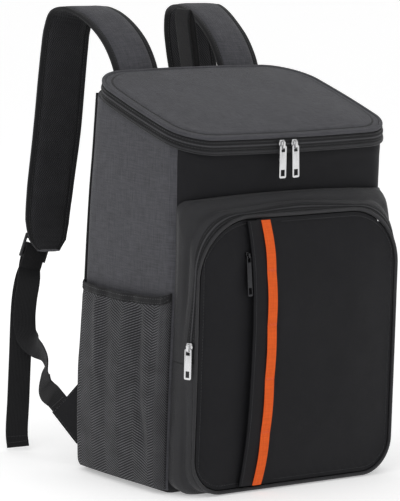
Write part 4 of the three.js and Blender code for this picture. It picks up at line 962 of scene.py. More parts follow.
def plated(name, colour, roughness):
    """Plated zip metal: polished, with fine rubbed marks"""
    f = Finish(name)
    marks = f.noise(0.0009, 3.0, (1, 1, 0.08))
    worn = f.noise(0.004, 2.0)
    shade = f.blend((worn * 0.6 + marks * 0.4), scaled(colour, 0.72), scaled(colour, 1.12))
    rough = (roughness + (marks - 0.5) * 0.22 + (worn - 0.5) * 0.12).limit(0.08, 0.8)
    normal = f.bump(marks + worn * 0.6, 0.00006, 0.7)
    return f.finish({"Base Color": shade, "Roughness": rough, "Normal": normal}, {"Metallic": 1.0})


def moulded(name, colour):
    """Moulded plastic with a fine grain and rubbed edges"""
    f = Finish(name)
    grain = f.noise(0.0005, 2.0)
    rubbed = f.noise(0.006, 3.0)
    shade = f.blend((rubbed * 0.7 + grain * 0.3), scaled(colour, 0.75), scaled(colour, 1.5))
    rough = (0.42 + (rubbed - 0.5) * 0.25 + (grain - 0.5) * 0.1).limit(0.15, 0.9)
    return f.finish({"Base Color": shade, "Roughness": rough, "Normal": f.bump(grain, 0.00005, 0.6)}, {
        "Specular IOR Level": 0.5})


def thread_finish(name, colour):
    """Twisted sewing thread"""
    f = Finish(name)
    fibre = f.noise(0.0006, 2.0)
    shade = f.blend(fibre, scaled(colour, 0.6), scaled(colour, 1.5))
    rough = (0.6 + (fibre - 0.5) * 0.3).limit(0.2, 1.0)
    return f.finish({"Base Color": shade, "Roughness": rough, "Normal": f.bump(fibre, 0.0001, 0.6)}, {
        "Sheen Weight": 0.3, "Specular IOR Level": 0.35})


def paper_floor(name, colour):
    """Pale seamless paper"""
    f = Finish(name)
    fibre = f.noise(0.05, 3.0)
    shade = f.blend(fibre, scaled(colour, 0.985), scaled(colour, 1.0))
    return f.finish({"Base Color": shade}, {
        "Roughness": 0.9, "Specular IOR Level": 0.1, "Emission Color": (1, 1, 1, 1), "Emission Strength": 0.36})


FINISHES = {}


def finish_of(key):
    """The bag's finishes, each made once from the panel's colours"""
    if key not in FINISHES:
        sizes, colours = bpy.context.scene.cooler_sizes, bpy.context.scene.cooler_colours
        weave = sizes.weave_pitch
        makers = {
            "grey_cloth": lambda: woven("Grey woven polyester", tuple(colours.grey_cloth), weave),
            "black_cloth": lambda: woven(
                "Black smooth cloth", tuple(colours.black_cloth), weave * 0.8, 0.2, 0.12, 0.62, 0.00008,
                sheen=0.02, specular=0.14),
            # The black cloth painted 1.5 times lighter, as painted light, for the gussets, the rim and the pocket's
            # piping
            "gusset_cloth": lambda: woven(
                "Black gusset cloth", scaled(colours.black_cloth, 1.5), weave * 0.8, 0.22, 0.14, 0.55, 0.00008,
                sheen=0.12, specular=0.35),
            "trim": lambda: ribbed("Black binding", tuple(colours.trim), 0.0011),
            "tape": lambda: woven("Zip tape", tuple(colours.tape), 0.0006, 0.3, 0.1, 0.7, 0.0001, 0.05),
            # The zip coil is the tape's black painted 3.2 times lighter, as a painted highlight on the chain
            "coil": lambda: moulded("Zip coil", scaled(colours.tape, 3.2)),
            "mesh": lambda: knitted(
                "Knitted mesh", tuple(colours.mesh_gap), tuple(colours.mesh_cord), 0.0029, 0.019, 0.6),
            "lining": lambda: knitted(
                "Strap lining mesh", scaled(colours.trim, 0.4), scaled(colours.trim, 3.4), 0.0024, 0.003, 0.9),
            # The orange webbing glows with its own colour: painted light that makes it brighter
            "accent": lambda: woven(
                "Orange webbing", tuple(colours.accent), 0.0009, 0.22, 0.16, 0.85, 0.0003,
                sheen=0.0, mottle=0.05, specular=0.08, painted_glow=0.3),
            "webbing": lambda: ribbed("Black webbing", tuple(colours.webbing), 0.0016),
            "steel": lambda: plated("Bright plating", tuple(colours.steel), 0.24),
            "dark_metal": lambda: plated("Dark plating", tuple(colours.dark_metal), 0.3),
            "buckle": lambda: moulded("Black buckle plastic", tuple(colours.buckle)),
            "thread": lambda: thread_finish("Dark thread", tuple(colours.thread)),
            "grey_thread": lambda: thread_finish("Grey thread", tuple(colours.grey_thread)),
            "accent_thread": lambda: thread_finish("Orange thread", scaled(colours.accent, 0.75)),
        }
        FINISHES[key] = makers[key]()
    return FINISHES[key]


# Rows of stitches and teeth

def row_tree():
    """Geometry nodes that set beads along the lines of a mesh: stitches, or the teeth of a zip"""
    tree = bpy.data.node_groups.new("Row of beads", "GeometryNodeTree")
    tree.interface.new_socket("Geometry", in_out="INPUT", socket_type="NodeSocketGeometry")
    for name in ("Pitch", "Length", "Width", "Height", "Unevenness"):
        tree.interface.new_socket(name, in_out="INPUT", socket_type="NodeSocketFloat")
    tree.interface.new_socket("Seed", in_out="INPUT", socket_type="NodeSocketInt")
    tree.interface.new_socket("Finish", in_out="INPUT", socket_type="NodeSocketMaterial")
    tree.interface.new_socket("Geometry", in_out="OUTPUT", socket_type="NodeSocketGeometry")

    def node(kind, settings=None, links=None):
        made = tree.nodes.new(kind)
        for key, value in (settings or {}).items():
            setattr(made, key, value)
        for key, value in (links or {}).items():
            if isinstance(value, bpy.types.NodeSocket):
                tree.links.new(value, made.inputs[key])
            else:
                made.inputs[key].default_value = value
        return made

    given = node("NodeGroupInput").outputs
    curve = node("GeometryNodeMeshToCurve", None, {"Mesh": given["Geometry"]})
    spaced = node("GeometryNodeResampleCurve", {"mode": "LENGTH"}, {
        "Curve": curve.outputs[0], "Length": given["Pitch"]})
    bead = node("GeometryNodeMeshUVSphere", None, {"Segments": 6, "Rings": 4, "Radius": 0.5})
    outward = node("GeometryNodeInputNamedAttribute", {"data_type": "FLOAT_VECTOR"}, {"Name": "outward"})
    tangent = node("GeometryNodeInputTangent")
    turn = node("FunctionNodeAxesToRotation", {"primary_axis": "Z", "secondary_axis": "X"}, {
        "Primary Axis": outward.outputs["Attribute"], "Secondary Axis": tangent.outputs[0]})
    least = node("ShaderNodeMath", {"operation": "SUBTRACT"}, {0: 1.0, 1: given["Unevenness"]})
    vary = node("FunctionNodeRandomValue", {"data_type": "FLOAT"}, {"Seed": given["Seed"]})
    tree.links.new(least.outputs[0], vary.inputs[2])
    vary.inputs[3].default_value = 1.0
    length = node("ShaderNodeMath", {"operation": "MULTIPLY"}, {0: given["Length"], 1: vary.outputs[1]})
    size = node("ShaderNodeCombineXYZ", None, {0: length.outputs[0], 1: given["Width"], 2: given["Height"]})
    beads = node("GeometryNodeInstanceOnPoints", None, {
        "Points": spaced.outputs[0], "Instance": bead.outputs[0], "Rotation": turn.outputs[0],
        "Scale": size.outputs[0]})
    real = node("GeometryNodeRealizeInstances", None, {"Geometry": beads.outputs[0]})
    smooth = node("GeometryNodeSetShadeSmooth", None, {"Geometry": real.outputs[0]})
    dressed = node("GeometryNodeSetMaterial", None, {
        "Geometry": smooth.outputs[0], "Material": given["Finish"]})
    node("NodeGroupOutput", None, {0: dressed.outputs[0]})
    return tree


def bead_rows(name, lines, pitch, length, width, height, finish, uneven=0.12, seed=3, body="pack"):
    """Beads along lines of (point in millimetres, outward direction), as one plain mesh"""
    verts, edges, directions = [], [], []
    for line in lines:
        start = len(verts)
        for point, outward in line:
            verts.append(tuple(point * MM))
            directions.append(outward)
        edges += [(start + k, start + k + 1) for k in range(len(line) - 1)]
    guide_mesh = bpy.data.meshes.new(name + "_guide")
    guide_mesh.from_pydata(verts, edges, [])
    attribute = guide_mesh.attributes.new("outward", "FLOAT_VECTOR", "POINT")
    attribute.data.foreach_set("vector", [c for d in directions for c in d])
    guide = bpy.data.objects.new(name + "_guide", guide_mesh)
    bpy.context.scene.collection.objects.link(guide)
    tree = bpy.data.node_groups.get("Row of beads") or row_tree()
    modifier = guide.modifiers.new("Rows", "NODES")
    modifier.node_group = tree
    given = {
        "Pitch": pitch * MM, "Length": length * MM, "Width": width * MM, "Height": height * MM,
        "Unevenness": uneven, "Seed": seed, "Finish": finish,
    }
    for item in tree.interface.items_tree:
        if item.in_out == "INPUT" and item.name in given:
            modifier[item.identifier] = given[item.name]
    evaluated = guide.evaluated_get(bpy.context.evaluated_depsgraph_get())
    mesh = bpy.data.meshes.new_from_object(evaluated)
    bpy.data.objects.remove(guide)
    mesh.name = name
    if not mesh.polygons:
        raise RuntimeError(f"{name} has no beads")
    mesh.materials.clear()
    mesh.materials.append(finish)
    piece = bpy.data.objects.new(name, mesh)
    bpy.context.scene.collection.objects.link(piece)
    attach(piece, body)
    return piece


def surface_of(piece):
    form = bmesh.new()
    form.from_mesh(piece.data)
    tree = BVHTree.FromBMesh(form)
    form.free()
    return tree


def laid(tree, points, direction, lift=0.12, reach=30):
    """Line of points dropped onto a surface along a direction, each with the surface's own direction"""
    line = []
    for point in points:
        start = (point - direction * reach) * MM
        hit, normal, _, _ = tree.ray_cast(start, direction, 2 * reach * MM)
        if hit is not None:
            if normal.dot(direction) > 0:
                normal = -normal
            line.append((hit / MM + normal * lift, normal))
    return line


# Pieces

PIECES = {}


def folds(side, column, z):
    """Soft creases of a body panel, in millimetres out from its face"""
    x, y, nx, ny, share = side_at(side, column, z)
    top = side_top(side, column)
    below = top - z
    inside = arch(share) ** 0.5
    soft = 0.75 * wander(x, y, z, 60, 1) + 0.3 * wander(x, y, z, 21, 2)
    out = soft * inside
    if side == "front":
        out += 1.3 * bell(below, 9, 5) * inside - 0.8 * bell(below, 19, 7) * inside
    elif side in ("left", "right"):
        out += 0.5 * bell(below, 4, 3) - 0.4 * bell(below, 9.5, 2.0) * inside
    else:
        out += -0.8 * bell(abs(share - 0.5), 0.19, 0.018) * ease(z, 40, 80) * ease(below, 12, 45)
    return out * ease(z, 8, 40) * ease(below, 0, 6)


def body_wall(side, node, finish):
    """One padded wall of the box, from the base up to the rim"""
    end = side_end(side)
    fine = 6
    columns = [k / fine for k in range(end * fine + 1)]
    low = [WALL_BOTTOM, 4, 5.5, 7, 9, 11, BASE_ROUND]
    rows = 76
    outer, inner, uv = [], [], []
    tops = {(c, out): side_top(side, c, out) for c in columns for out in (0, -WALL)}
    for i in range(len(low) + rows):
        row_out, row_in, row_uv = [], [], []
        for c in columns:
            def level(out):
                if i < len(low):
                    return low[i]
                return BASE_ROUND + (tops[(c, out)] - BASE_ROUND) * (i - len(low) + 1) / rows
            z = level(0)
            row_out.append(side_point(side, c, z, folds(side, c, z)))
            row_in.append(side_point(side, c, level(-WALL), -WALL))
            p = row_out[-1]
            row_uv.append((p.y if side in ("left", "right") else p.x, z))
        outer.append(row_out)
        inner.append(row_in)
        uv.append(row_uv)
    piece = wall_piece(node + "_padded", outer, inner, uv)
    settle(piece, finish_of(finish), [node])
    PIECES[node] = piece
    return piece


def make_body():
    for side, node, finish, slot in (
            ("front", "front_panel", "black_cloth", "black_cloth"),
            ("left", "side_panel_left", "grey_cloth", "grey_cloth"),
            ("right", "side_panel_right", "grey_cloth", "grey_cloth"),
            ("back", "back_panel", "black_cloth", "black_cloth")):
        body_wall(side, node, finish)
    make_base()
    for side in ("left", "right"):
        make_back_piping(side)


def whole_outline(z, inset, level, fine=4):
    points = []
    for side in SIDES:
        for k in range(1, side_end(side) * fine + 1):
            x, y, nx, ny, _ = side_at(side, k / fine, z)
            points.append(Vector((x - nx * inset, y - ny * inset, level)))
    return points


def make_base():
    ledge = WALL_BOTTOM - SEAM
    plug = base_inset(WALL_BOTTOM) + WALL + SEAM
    under = base_inset(0) * 0.7
    middle = base_inset(WALL_BOTTOM) + SEAM
    loops = [
        whole_outline(0, under + 8, 0.0), whole_outline(0, under, 0.0),
        whole_outline(0, (under * 0.35 + middle * 0.65), ledge * 0.45),
        whole_outline(0, middle, ledge), whole_outline(0, plug, ledge), whole_outline(0, plug, 7),
    ]
    piece = loft_piece("base_panel_padded", loops, sharp=40)
    settle(piece, finish_of("black_cloth"), ["base_panel"])
    PIECES["base_panel"] = piece


def make_back_piping(side):
    column = 0 if side == "left" else side_end("right")
    top = side_top(side, column) - 1
    steps, count = 90, 12
    loops = []
    for i in range(steps + 1):
        z = BASE_ROUND + (top - BASE_ROUND) * i / steps
        centre = side_point(side, column, z, BACK_PIPING + SEAM)
        radius = BACK_PIPING * (1 + 0.04 * wander(centre.x, centre.y, z, 9, 4))
        loops.append([Vector((
            centre.x + radius * math.cos(2 * math.pi * k / count),
            centre.y + radius * math.sin(2 * math.pi * k / count), z)) for k in range(count)])
    node = "back_piping_" + side
    piece = loft_piece(node + "_bound", loops)
    settle(piece, finish_of("trim"), [node])
    PIECES[node] = piece


def lid_band_piece(name, node, outline, section, closed, finish, wobble=0.0, sharp=50):
    loops = []
    for k, place in enumerate(outline):
        p, n = place
        shift = wobble * wander(p.x, p.y, 0, 24, 6)
        loops.append([lid_point(place, out + shift, up) for out, up in section])
    piece = loft_piece(name, loops, closed=closed, sharp=sharp)
    settle(piece, finish_of(finish), [node])
    PIECES[node] = piece
    return piece


def round_section(radius, count, dx=0.0, dy=0.0):
    return [(dx + radius * math.cos(2 * math.pi * k / count), dy + radius * math.sin(2 * math.pi * k / count))
            for k in range(count)]


def make_lid():
    shares = [0.03, 0.12, 0.22, 0.32, 0.42, 0.52, 0.61, 0.69, 0.76, 0.82, 0.87, 0.905, 0.93, 0.948, 0.962, 0.975,
              0.988, 1.0]

    def top_ring(share):
        ring = []
        for place in LID_OUTLINE:
            p = lid_dome(place, share)
            seam = -1.3 * bell(share, 0.955, 0.008) + 0.35 * bell(share, 0.93, 0.02)
            soft = 0.9 * wander(p.x, p.y, 0, 70, 7) + 0.35 * wander(p.x, p.y, 0, 24, 8)
            ring.append(p + Vector((0, 0, seam + soft * ease(1 - share, 0.02, 0.2))))
        return ring

    loops = [top_ring(s) for s in shares]
    loops += [[lid_dome(place, s, LID_THICKNESS) for place in LID_OUTLINE] for s in (1, 0.8, 0.4)]
    piece = loft_piece("lid_panel_padded", loops)
    mesh = piece.data
    for loop in mesh.loops:
        co = mesh.vertices[loop.vertex_index].co
        mesh.uv_layers["Cloth"].data[loop.index].uv = (co.x, co.y)
    # The faces of the groove by the lid's edge take the black binding finish: painted shade in the groove
    painted_shade_row = shares.index(0.948)
    for face in mesh.polygons:
        if all(v // len(LID_OUTLINE) in (painted_shade_row, painted_shade_row + 1) for v in face.vertices):
            face.material_index = 1
    settle(piece, [finish_of("grey_cloth"), finish_of("trim")], ["lid_panel"])
    PIECES["lid_panel"] = piece

    lid_band_piece("lid_piping_bound", "lid_piping", LID_OUTLINE, round_section(LID_PIPING, 14, -0.5), True,
                   "grey_cloth", 0.12)
    face = ZIP_PROUD
    chain = ZIP_HEIGHT * 0.26
    middle = ZIP_TOP - ZIP_HEIGHT / 2
    low = ZIP_TOP - ZIP_HEIGHT
    zip_section = [
        (face - ZIP_THICKNESS, ZIP_TOP), (face - ZIP_THICKNESS, low), (face - 0.2, low), (face + 0.1, low + 0.5),
        (face, low + 1.2), (face - 0.1, middle - chain / 2 - 0.6), (face + CHAIN_PROUD * 0.55, middle - chain / 2),
        (face + CHAIN_PROUD * 0.75, middle), (face + CHAIN_PROUD * 0.55, middle + chain / 2),
        (face - 0.1, middle + chain / 2 + 0.6), (face, ZIP_TOP - 1.2), (face + 0.1, ZIP_TOP - 0.5),
        (face - 0.2, ZIP_TOP),
    ]
    zip_path = LID_OUTLINE[:HINGE_START + 1]
    lid_band_piece("lid_zip_tape", "lid_zip", zip_path, zip_section, False, "tape", 0.1)
    hinge_section = [
        (face - ZIP_THICKNESS, ZIP_TOP), (face - ZIP_THICKNESS, low), (face, low), (face + 0.2, low + 2.2),
        (face - 0.25, middle), (face + 0.2, ZIP_TOP - 2.2), (face, ZIP_TOP),
    ]
    back = LID_OUTLINE[HINGE_START:] + [LID_OUTLINE[0]]
    first, last = back[0], back[-1]
    back = [(first[0] + Vector((-SEAM, 0)), first[1])] + back[1:-1] + [(last[0] + Vector((SEAM, 0)), last[1])]
    lid_band_piece("lid_hinge_cloth", "lid_hinge", back, hinge_section, False, "black_cloth")
    top = ZIP_TOP - ZIP_HEIGHT - SEAM
    foot = top - RIM_HEIGHT
    rim_section = [
        (RIM_PROUD - 1.6, top), (RIM_PROUD - 0.5, top - 0.35), (RIM_PROUD, top - 1.1), (RIM_PROUD + 0.05, top - 2.0),
        (RIM_PROUD - 0.55, top - 2.5), (RIM_PROUD + 0.05, top - 3.0), (RIM_PROUD - 0.1, top - 3.6),
        (RIM_PROUD - 0.7, foot + 0.25), (RIM_PROUD - 1.6, foot), (-RIM_REACH, foot), (-RIM_REACH, top),
    ]
    # The rim's cloth is the black cloth painted lighter, as painted light
    lid_band_piece("body_rim_bound", "body_rim", LID_OUTLINE, rim_section, True, "gusset_cloth", 0.1)


def gusset_fold(p, t, low):
    """Creases of the gusset in millimetres, at a share of the way from the body to the pocket's face"""
    q = gusset_point(p, p["length"] * t, 0)
    edge = arch(t)
    out = (1.1 * wander(q.x, q.y, q.z, 42, 11) + 0.45 * wander(q.x, q.y, q.z, 15, 12)) * edge
    out += -3.8 * bell(t, 0.68, 0.13) + 1.4 * bell(t, 0.26, 0.13)
    if low:
        left = ease(-q.x, 90, 125)
        slant = q.z - 78 + (q.y + 105) * 1.1
        out += left * edge * (1.5 * bell(slant, 0, 8) - 1.5 * bell(slant, 17, 9))
    return out


def gusset_piece(name, node, path, end, low):
    steps = 22
    outer, inner, uv = [], [], []
    run = 0.0
    for k, p in enumerate(path):
        if k:
            run += (p["stop"] - path[k - 1]["stop"]).length
        reach = p["length"] - end
        ramp = min(1, k / 6, (len(path) - 1 - k) / 6)
        row_out, row_in, row_uv = [], [], []
        for j in range(steps + 1):
            d = reach * j / steps
            t = d / reach
            fold = gusset_fold(p, t, low) * ease(t, 0, 0.1) * ease(1 - t, 0, 0.14) * ramp
            row_out.append(gusset_point(p, d, fold))
            row_in.append(gusset_point(p, d, fold - GUSSET_CLOTH + 0.6))
            row_uv.append((run, d))
        outer.append(row_out)
        inner.append(row_in)
        uv.append(row_uv)
    piece = wall_piece(name, outer, inner, uv)
    # The gusset's cloth is the black cloth painted lighter, as painted light
    settle(piece, finish_of("gusset_cloth"), [node])
    declare_sheet(outer)
    PIECES[node] = piece
    return piece


def make_gussets():
    upper = GUSSET_PATH[SEAM_RIGHT:SEAM_LEFT + 1]
    gusset_piece("pocket_gusset_cloth", "pocket_gusset", upper, GUSSET_EDGE, False)
    low = GUSSET_PATH[SEAM_LEFT:] + GUSSET_PATH[:SEAM_RIGHT + 1]

    def lowered(p):
        drop = Vector((0, 0, -2 * SEAM))
        return {**p, "start": p["start"] + drop, "stop": p["stop"] + drop}

    low = [lowered(low[0])] + low[1:-1] + [lowered(low[-1])]
    gusset_piece("pocket_gusset_lower_cloth", "pocket_gusset_lower", low, ZIP_EDGE, True)


def make_pocket_zip():
    path = GUSSET_PATH[SEAM_RIGHT:SEAM_LEFT + 1]
    chain = POCKET_ZIP_WIDTH * 0.34
    middle = POCKET_ZIP_WIDTH / 2
    section = [
        (0, -ZIP_THICKNESS), (POCKET_ZIP_WIDTH, -ZIP_THICKNESS), (POCKET_ZIP_WIDTH, 0),
        (POCKET_ZIP_WIDTH - 1.2, 0.1), (middle + chain / 2 + 0.5, -0.15), (middle + chain / 2, CHAIN_PROUD * 0.4),
        (middle, CHAIN_PROUD * 0.55), (middle - chain / 2, CHAIN_PROUD * 0.4), (middle - chain / 2 - 0.5, -0.15),
        (1.2, 0.1), (0, 0),
    ]
    loops = [[gusset_point(p, p["length"] - ZIP_EDGE - x, out) for x, out in section] for p in path]
    piece = loft_piece("pocket_zip_tape", loops)
    settle(piece, finish_of("tape"), ["pocket_zip"])
    PIECES["pocket_zip"] = piece
    section = round_section(POCKET_PIPING, 12)
    loops = []
    for p in GUSSET_PATH:
        shift = 0.12 * wander(p["stop"].x, 0, p["stop"].z, 20, 9)
        loops.append([p["stop"] + p["along"] * (x + shift) + p["out"] * y for x, y in section])
    piece = loft_piece("pocket_piping_bound", loops, closed=True)
    # The piping's cloth is the black cloth painted lighter, as painted light
    settle(piece, finish_of("gusset_cloth"), ["pocket_piping"])
    PIECES["pocket_piping"] = piece


def panel_relief(x, z, left):
    """Sewn edge, puckers and slack of the pocket's face, in millimetres towards the front"""
    low, high = panel_edge(x, False), panel_edge(x, True)
    half = POCKET_WIDTH / 2 - PANEL_INSET
    gap = min(z - low, high - z, half - abs(x))
    out = 0.8 * wander(x, 0, z, 62, 21) + 0.3 * wander(x, 0, z, 22, 22)
    out *= ease(gap, 4, 40)
    around = x + z
    out += 0.28 * math.sin(around * 0.55 + 2 * wander(x, 0, z, 30, 23)) * bell(gap, 8, 6)
    out -= 0.55 * bell(gap, 4.2, 1.3)
    if left:
        out *= ease(PANEL_SPLIT - x, 0, 8)
    else:
        out *= ease(x - (PLACKET_X + PLACKET_WIDTH / 2 + 1), 0, 8)
    return out * ease(gap, 0, 3)


def pocket_panel(name, node, start, stop, left):
    columns, rows = (56, 110) if left else (110, 110)
    outer, inner, uv = [], [], []
    for i in range(columns + 1):
        x = start + (stop - start) * (1 - math.cos(math.pi * i / columns)) / 2
        low, high = panel_edge(x, False), panel_edge(x, True)
        row_out, row_in, row_uv = [], [], []
        for k in range(rows + 1):
            share = k / rows
            z = low + (high - low) * (1 - math.cos(math.pi * share)) / 2
            edge = arch(share) ** 0.5
            y = pocket_face(x, z) + (left_dip(x) if left else 0) * edge
            row_out.append(Vector((x, y - panel_relief(x, z, left), z)))
            row_in.append(Vector((x, y + POCKET_PADDING, z)))
            row_uv.append((x, z))
        outer.append(row_out)
        inner.append(row_in)
        uv.append(row_uv)
    piece = wall_piece(name, outer, inner, uv)
    settle(piece, finish_of("black_cloth"), [node])
    PIECES[node] = piece


def make_pocket_panels():
    edge = POCKET_WIDTH / 2 - PANEL_INSET
    pocket_panel("pocket_panel_left_padded", "pocket_panel_left", -edge, PANEL_SPLIT - SEAM / 2, True)
    pocket_panel("pocket_panel_right_padded", "pocket_panel_right", PANEL_SPLIT + SEAM / 2, edge, False)


def placket_strip(name, node, left, right, front, thickness, rows, columns, thin, finish, soft=0.0):
    low, high = panel_edge(PLACKET_X, False) + 1, panel_edge(PLACKET_X, True) - 1
    outer, inner, uv = [], [], []
    for i in range(rows + 1):
        share = i / rows
        z = low + (high - low) * share
        shift = PLACKET_WIDTH * between(PLACKET_LINE, "height", "shift", share)
        row_out, row_in, row_uv = [], [], []
        for j in range(columns + 1):
            across = j / columns
            x = left + (right - left) * across
            y = pocket_face(x + shift, z) - front - thin(share)
            rounding = 0.45 * thickness * (bell(across, 0, 0.06) + bell(across, 1, 0.06))
            seams = 0.35 * bell(across, 0.1, 0.03) + 0.25 * bell(across, 0.58, 0.03)
            fold = soft * (0.6 * wander(x, 0, z, 26, 31) - seams)
            row_out.append(Vector((x + shift, y + min(rounding, 0.45 * thickness) - max(fold, -0.5), z)))
            row_in.append(Vector((x + shift, y + thickness, z)))
            row_uv.append((x, z))
        outer.append(row_out)
        inner.append(row_in)
        uv.append(row_uv)
    piece = wall_piece(name, outer, inner, uv)
    settle(piece, finish_of(finish), [node])
    PIECES[node] = piece
    return low, high


def make_placket():
    left = PLACKET_X - PLACKET_WIDTH / 2
    placket_strip("placket_cloth", "placket", left, left + PLACKET_WIDTH, SEAM + PLACKET_THICKNESS,
                  PLACKET_THICKNESS, 150, 40, lambda share: 0, "black_cloth", 0.4)
    right = PLACKET_X + PLACKET_WIDTH / 2
    length = panel_edge(PLACKET_X, True) - panel_edge(PLACKET_X, False)

    def slack(share):
        return 1.1 * abs(math.sin(math.pi * share * length / ACCENT_PITCH))

    placket_strip("accent_strap_webbing", "accent_strap", right - ACCENT_WIDTH, right,
                  2 * SEAM + PLACKET_THICKNESS + ACCENT_THICKNESS, ACCENT_THICKNESS, 200, 12, slack,
                  "accent")


MESH_ENDS = (0.5, 8.5)


def mesh_column(side, forward):
    column = MESH_ENDS[0] + (MESH_ENDS[1] - MESH_ENDS[0]) * forward
    return column if side == "left" else side_end("right") - column


def mesh_slack(forward, up):
    """Smaller folds of the mesh between its gathers, in millimetres"""
    fan = 1.0 * math.sin(forward * 52 + 3 * up) * bell(up, 1.0, 0.28)
    ridge = 3.4 * bell(forward, 0.34 + 0.09 * (1 - up), 0.03) * ease(up, 0.35, 0.75)
    valley = -5.5 * bell(forward, 0.66 + 0.10 * (1 - up) ** 1.5, 0.034) * ease(up, 0.02, 0.3)
    drift = 1.1 * wander(forward * 120, 0, up * 200, 34, 41)
    return (fan + ridge + valley + drift) * arch(forward) ** 0.5 * ease(up, 0, 0.15)


def make_mesh_pocket(side):
    node = "mesh_pocket_" + side
    columns, rows = 96, 90
    outer, inner, uv = [], [], []
    for j in range(columns + 1):
        forward = j / columns
        column = mesh_column(side, forward)
        top = mesh_top(forward) - HEM_HEIGHT - SEAM
        row_out, row_in, row_uv = [], [], []
        for i in range(rows + 1):
            z = MESH_FOOT + (top - MESH_FOOT) * i / rows
            up = min(1, (z - MESH_FOOT) / (top - MESH_FOOT))
            proud = mesh_proud(forward, up)
            slack = min(0.9 * proud, max(-0.75 * proud, mesh_slack(forward, up))) * ease(1 - up, 0, 0.04)
            row_out.append(side_point(side, column, z, MESH_GAP + MESH_CLOTH + proud + slack))
            row_in.append(side_point(side, column, z, MESH_GAP + proud + slack * 0.98))
            row_uv.append((forward * 172, z))
        outer.append(row_out)
        inner.append(row_in)
        uv.append(row_uv)
    piece = wall_piece(node + "_knit", outer, inner, uv)
    settle(piece, finish_of("mesh"), [node])
    declare_sheet(outer)
    PIECES[node] = piece

    hem = "mesh_hem_" + side
    loops = []
    section = [(0.0, 0.0), (0.0, 1.0), (0.5, 1.04), (0.85, 1.0), (1.0, 0.9), (0.92, 0.72), (1.0, 0.55), (0.98, 0.2),
               (0.8, 0.02)]
    for j in range(columns + 1):
        forward = j / columns
        top = mesh_top(forward)
        proud = mesh_proud(forward, 1)
        ripple = 0.35 * math.sin(forward * 60) * math.sin(math.pi * forward)
        column = mesh_column(side, forward)
        loops.append([side_point(side, column, top - HEM_HEIGHT * (1 - up),
                                 MESH_GAP + out * HEM_THICKNESS + proud + ripple * (0.3 + out))
                      for out, up in section])
    piece = loft_piece(hem + "_binding", loops)
    settle(piece, finish_of("trim"), [hem])
    PIECES[hem] = piece


def paired_mesh(piece, suffix):
    """The right-hand copy of a left strap part"""
    mesh = piece.data.copy()
    for vertex in mesh.vertices:
        vertex.co = splayed(vertex.co / MM) * MM
    mesh.flip_normals()
    copy = bpy.data.objects.new(piece.name.replace("left", suffix), mesh)
    bpy.context.scene.collection.objects.link(copy)
    return copy


STRAP_PROFILE = [
    (-1.0, 0.0), (-0.99, -0.42), (-0.955, -0.62), (-0.88, -0.66), (-0.8, -0.62), (-0.765, -0.5), (-0.73, -0.84),
    (-0.45, -1.0), (-0.15, -1.02), (0.15, -1.02), (0.45, -1.0), (0.73, -0.84), (0.765, -0.5), (0.8, -0.62),
    (0.88, -0.66), (0.955, -0.62), (0.99, -0.42),
]
STRAP_LOOP = STRAP_PROFILE + [(-s, -h) for s, h in STRAP_PROFILE]


def strap_slot(j):
    """Which finish a face of the strap has: 0 the grey cloth, 1 the lining, 2 the binding"""
    a, b = STRAP_LOOP[j], STRAP_LOOP[(j + 1) % len(STRAP_LOOP)]
    s = abs(a[0] + b[0]) / 2
    if s > 0.76:
        return 2
    return 0 if a[1] + b[1] < 0 else 1


def make_strap():
    band = strap_band(210)

    def shape(row):
        crest = bell(row["t"], 0.36, 0.12)
        root = bell(row["run"], 8, 16)

        def extra(s, h):
            inner = h > 0
            ribs = math.sin(row["run"] * 1.25) * (0.14 * crest * (1 if inner else 0.15) + 0.1 * root)
            soft = 0.07 * wander(s * 28, row["run"], h, 30, 51)
            return (ribs + soft) * (1 - abs(s) ** 4) * (1 if h > 0 else -1)
        return extra

    def strap(name, band):
        loops = band.loops(STRAP_LOOP, shape)
        return loft_piece(name, loops, slot_of=strap_slot, runs=[r["run"] for r in band.rows])

    left = strap("shoulder_strap_left_padded", band)
    turned = strap("shoulder_strap_left_turned", strap_band(210, 1))
    right = paired_mesh(turned, "right")
    right.name = "shoulder_strap_right_padded"
    bpy.data.objects.remove(turned)
    for piece, side in ((left, "left"), (right, "right")):
        node = "shoulder_strap_" + side
        settle(piece, [finish_of("grey_cloth"), finish_of("lining"), finish_of("trim")], [node])
        PIECES[node] = piece


WEB_PROFILE = [(-1, 0), (-0.99, -0.6), (-0.94, -0.95), (-0.8, -1), (0.8, -1), (0.94, -0.95), (0.99, -0.6)]
WEB_LOOP = WEB_PROFILE + [(-s, -h) for s, h in WEB_PROFILE]


def make_webbing():
    parts = [("strap_loop", loop_band(72)), ("lower_webbing", lower_webbing_band(300))]
    for stem, band in parts:
        loops = band.loops(WEB_LOOP)
        left = loft_piece(stem + "_left_webbing", loops, runs=[r["run"] for r in band.rows])
        right = paired_mesh(left, "right")
        for piece, side in ((left, "left"), (right, "right")):
            settle(piece, finish_of("webbing"), [f"{stem}_{side}"])
            PIECES[f"{stem}_{side}"] = piece
    band = handle_band(150)
    piece = loft_piece("grab_handle_webbing", band.loops(WEB_LOOP), runs=[r["run"] for r in band.rows])
    settle(piece, finish_of("webbing"), ["grab_handle"])
    PIECES["grab_handle"] = piece


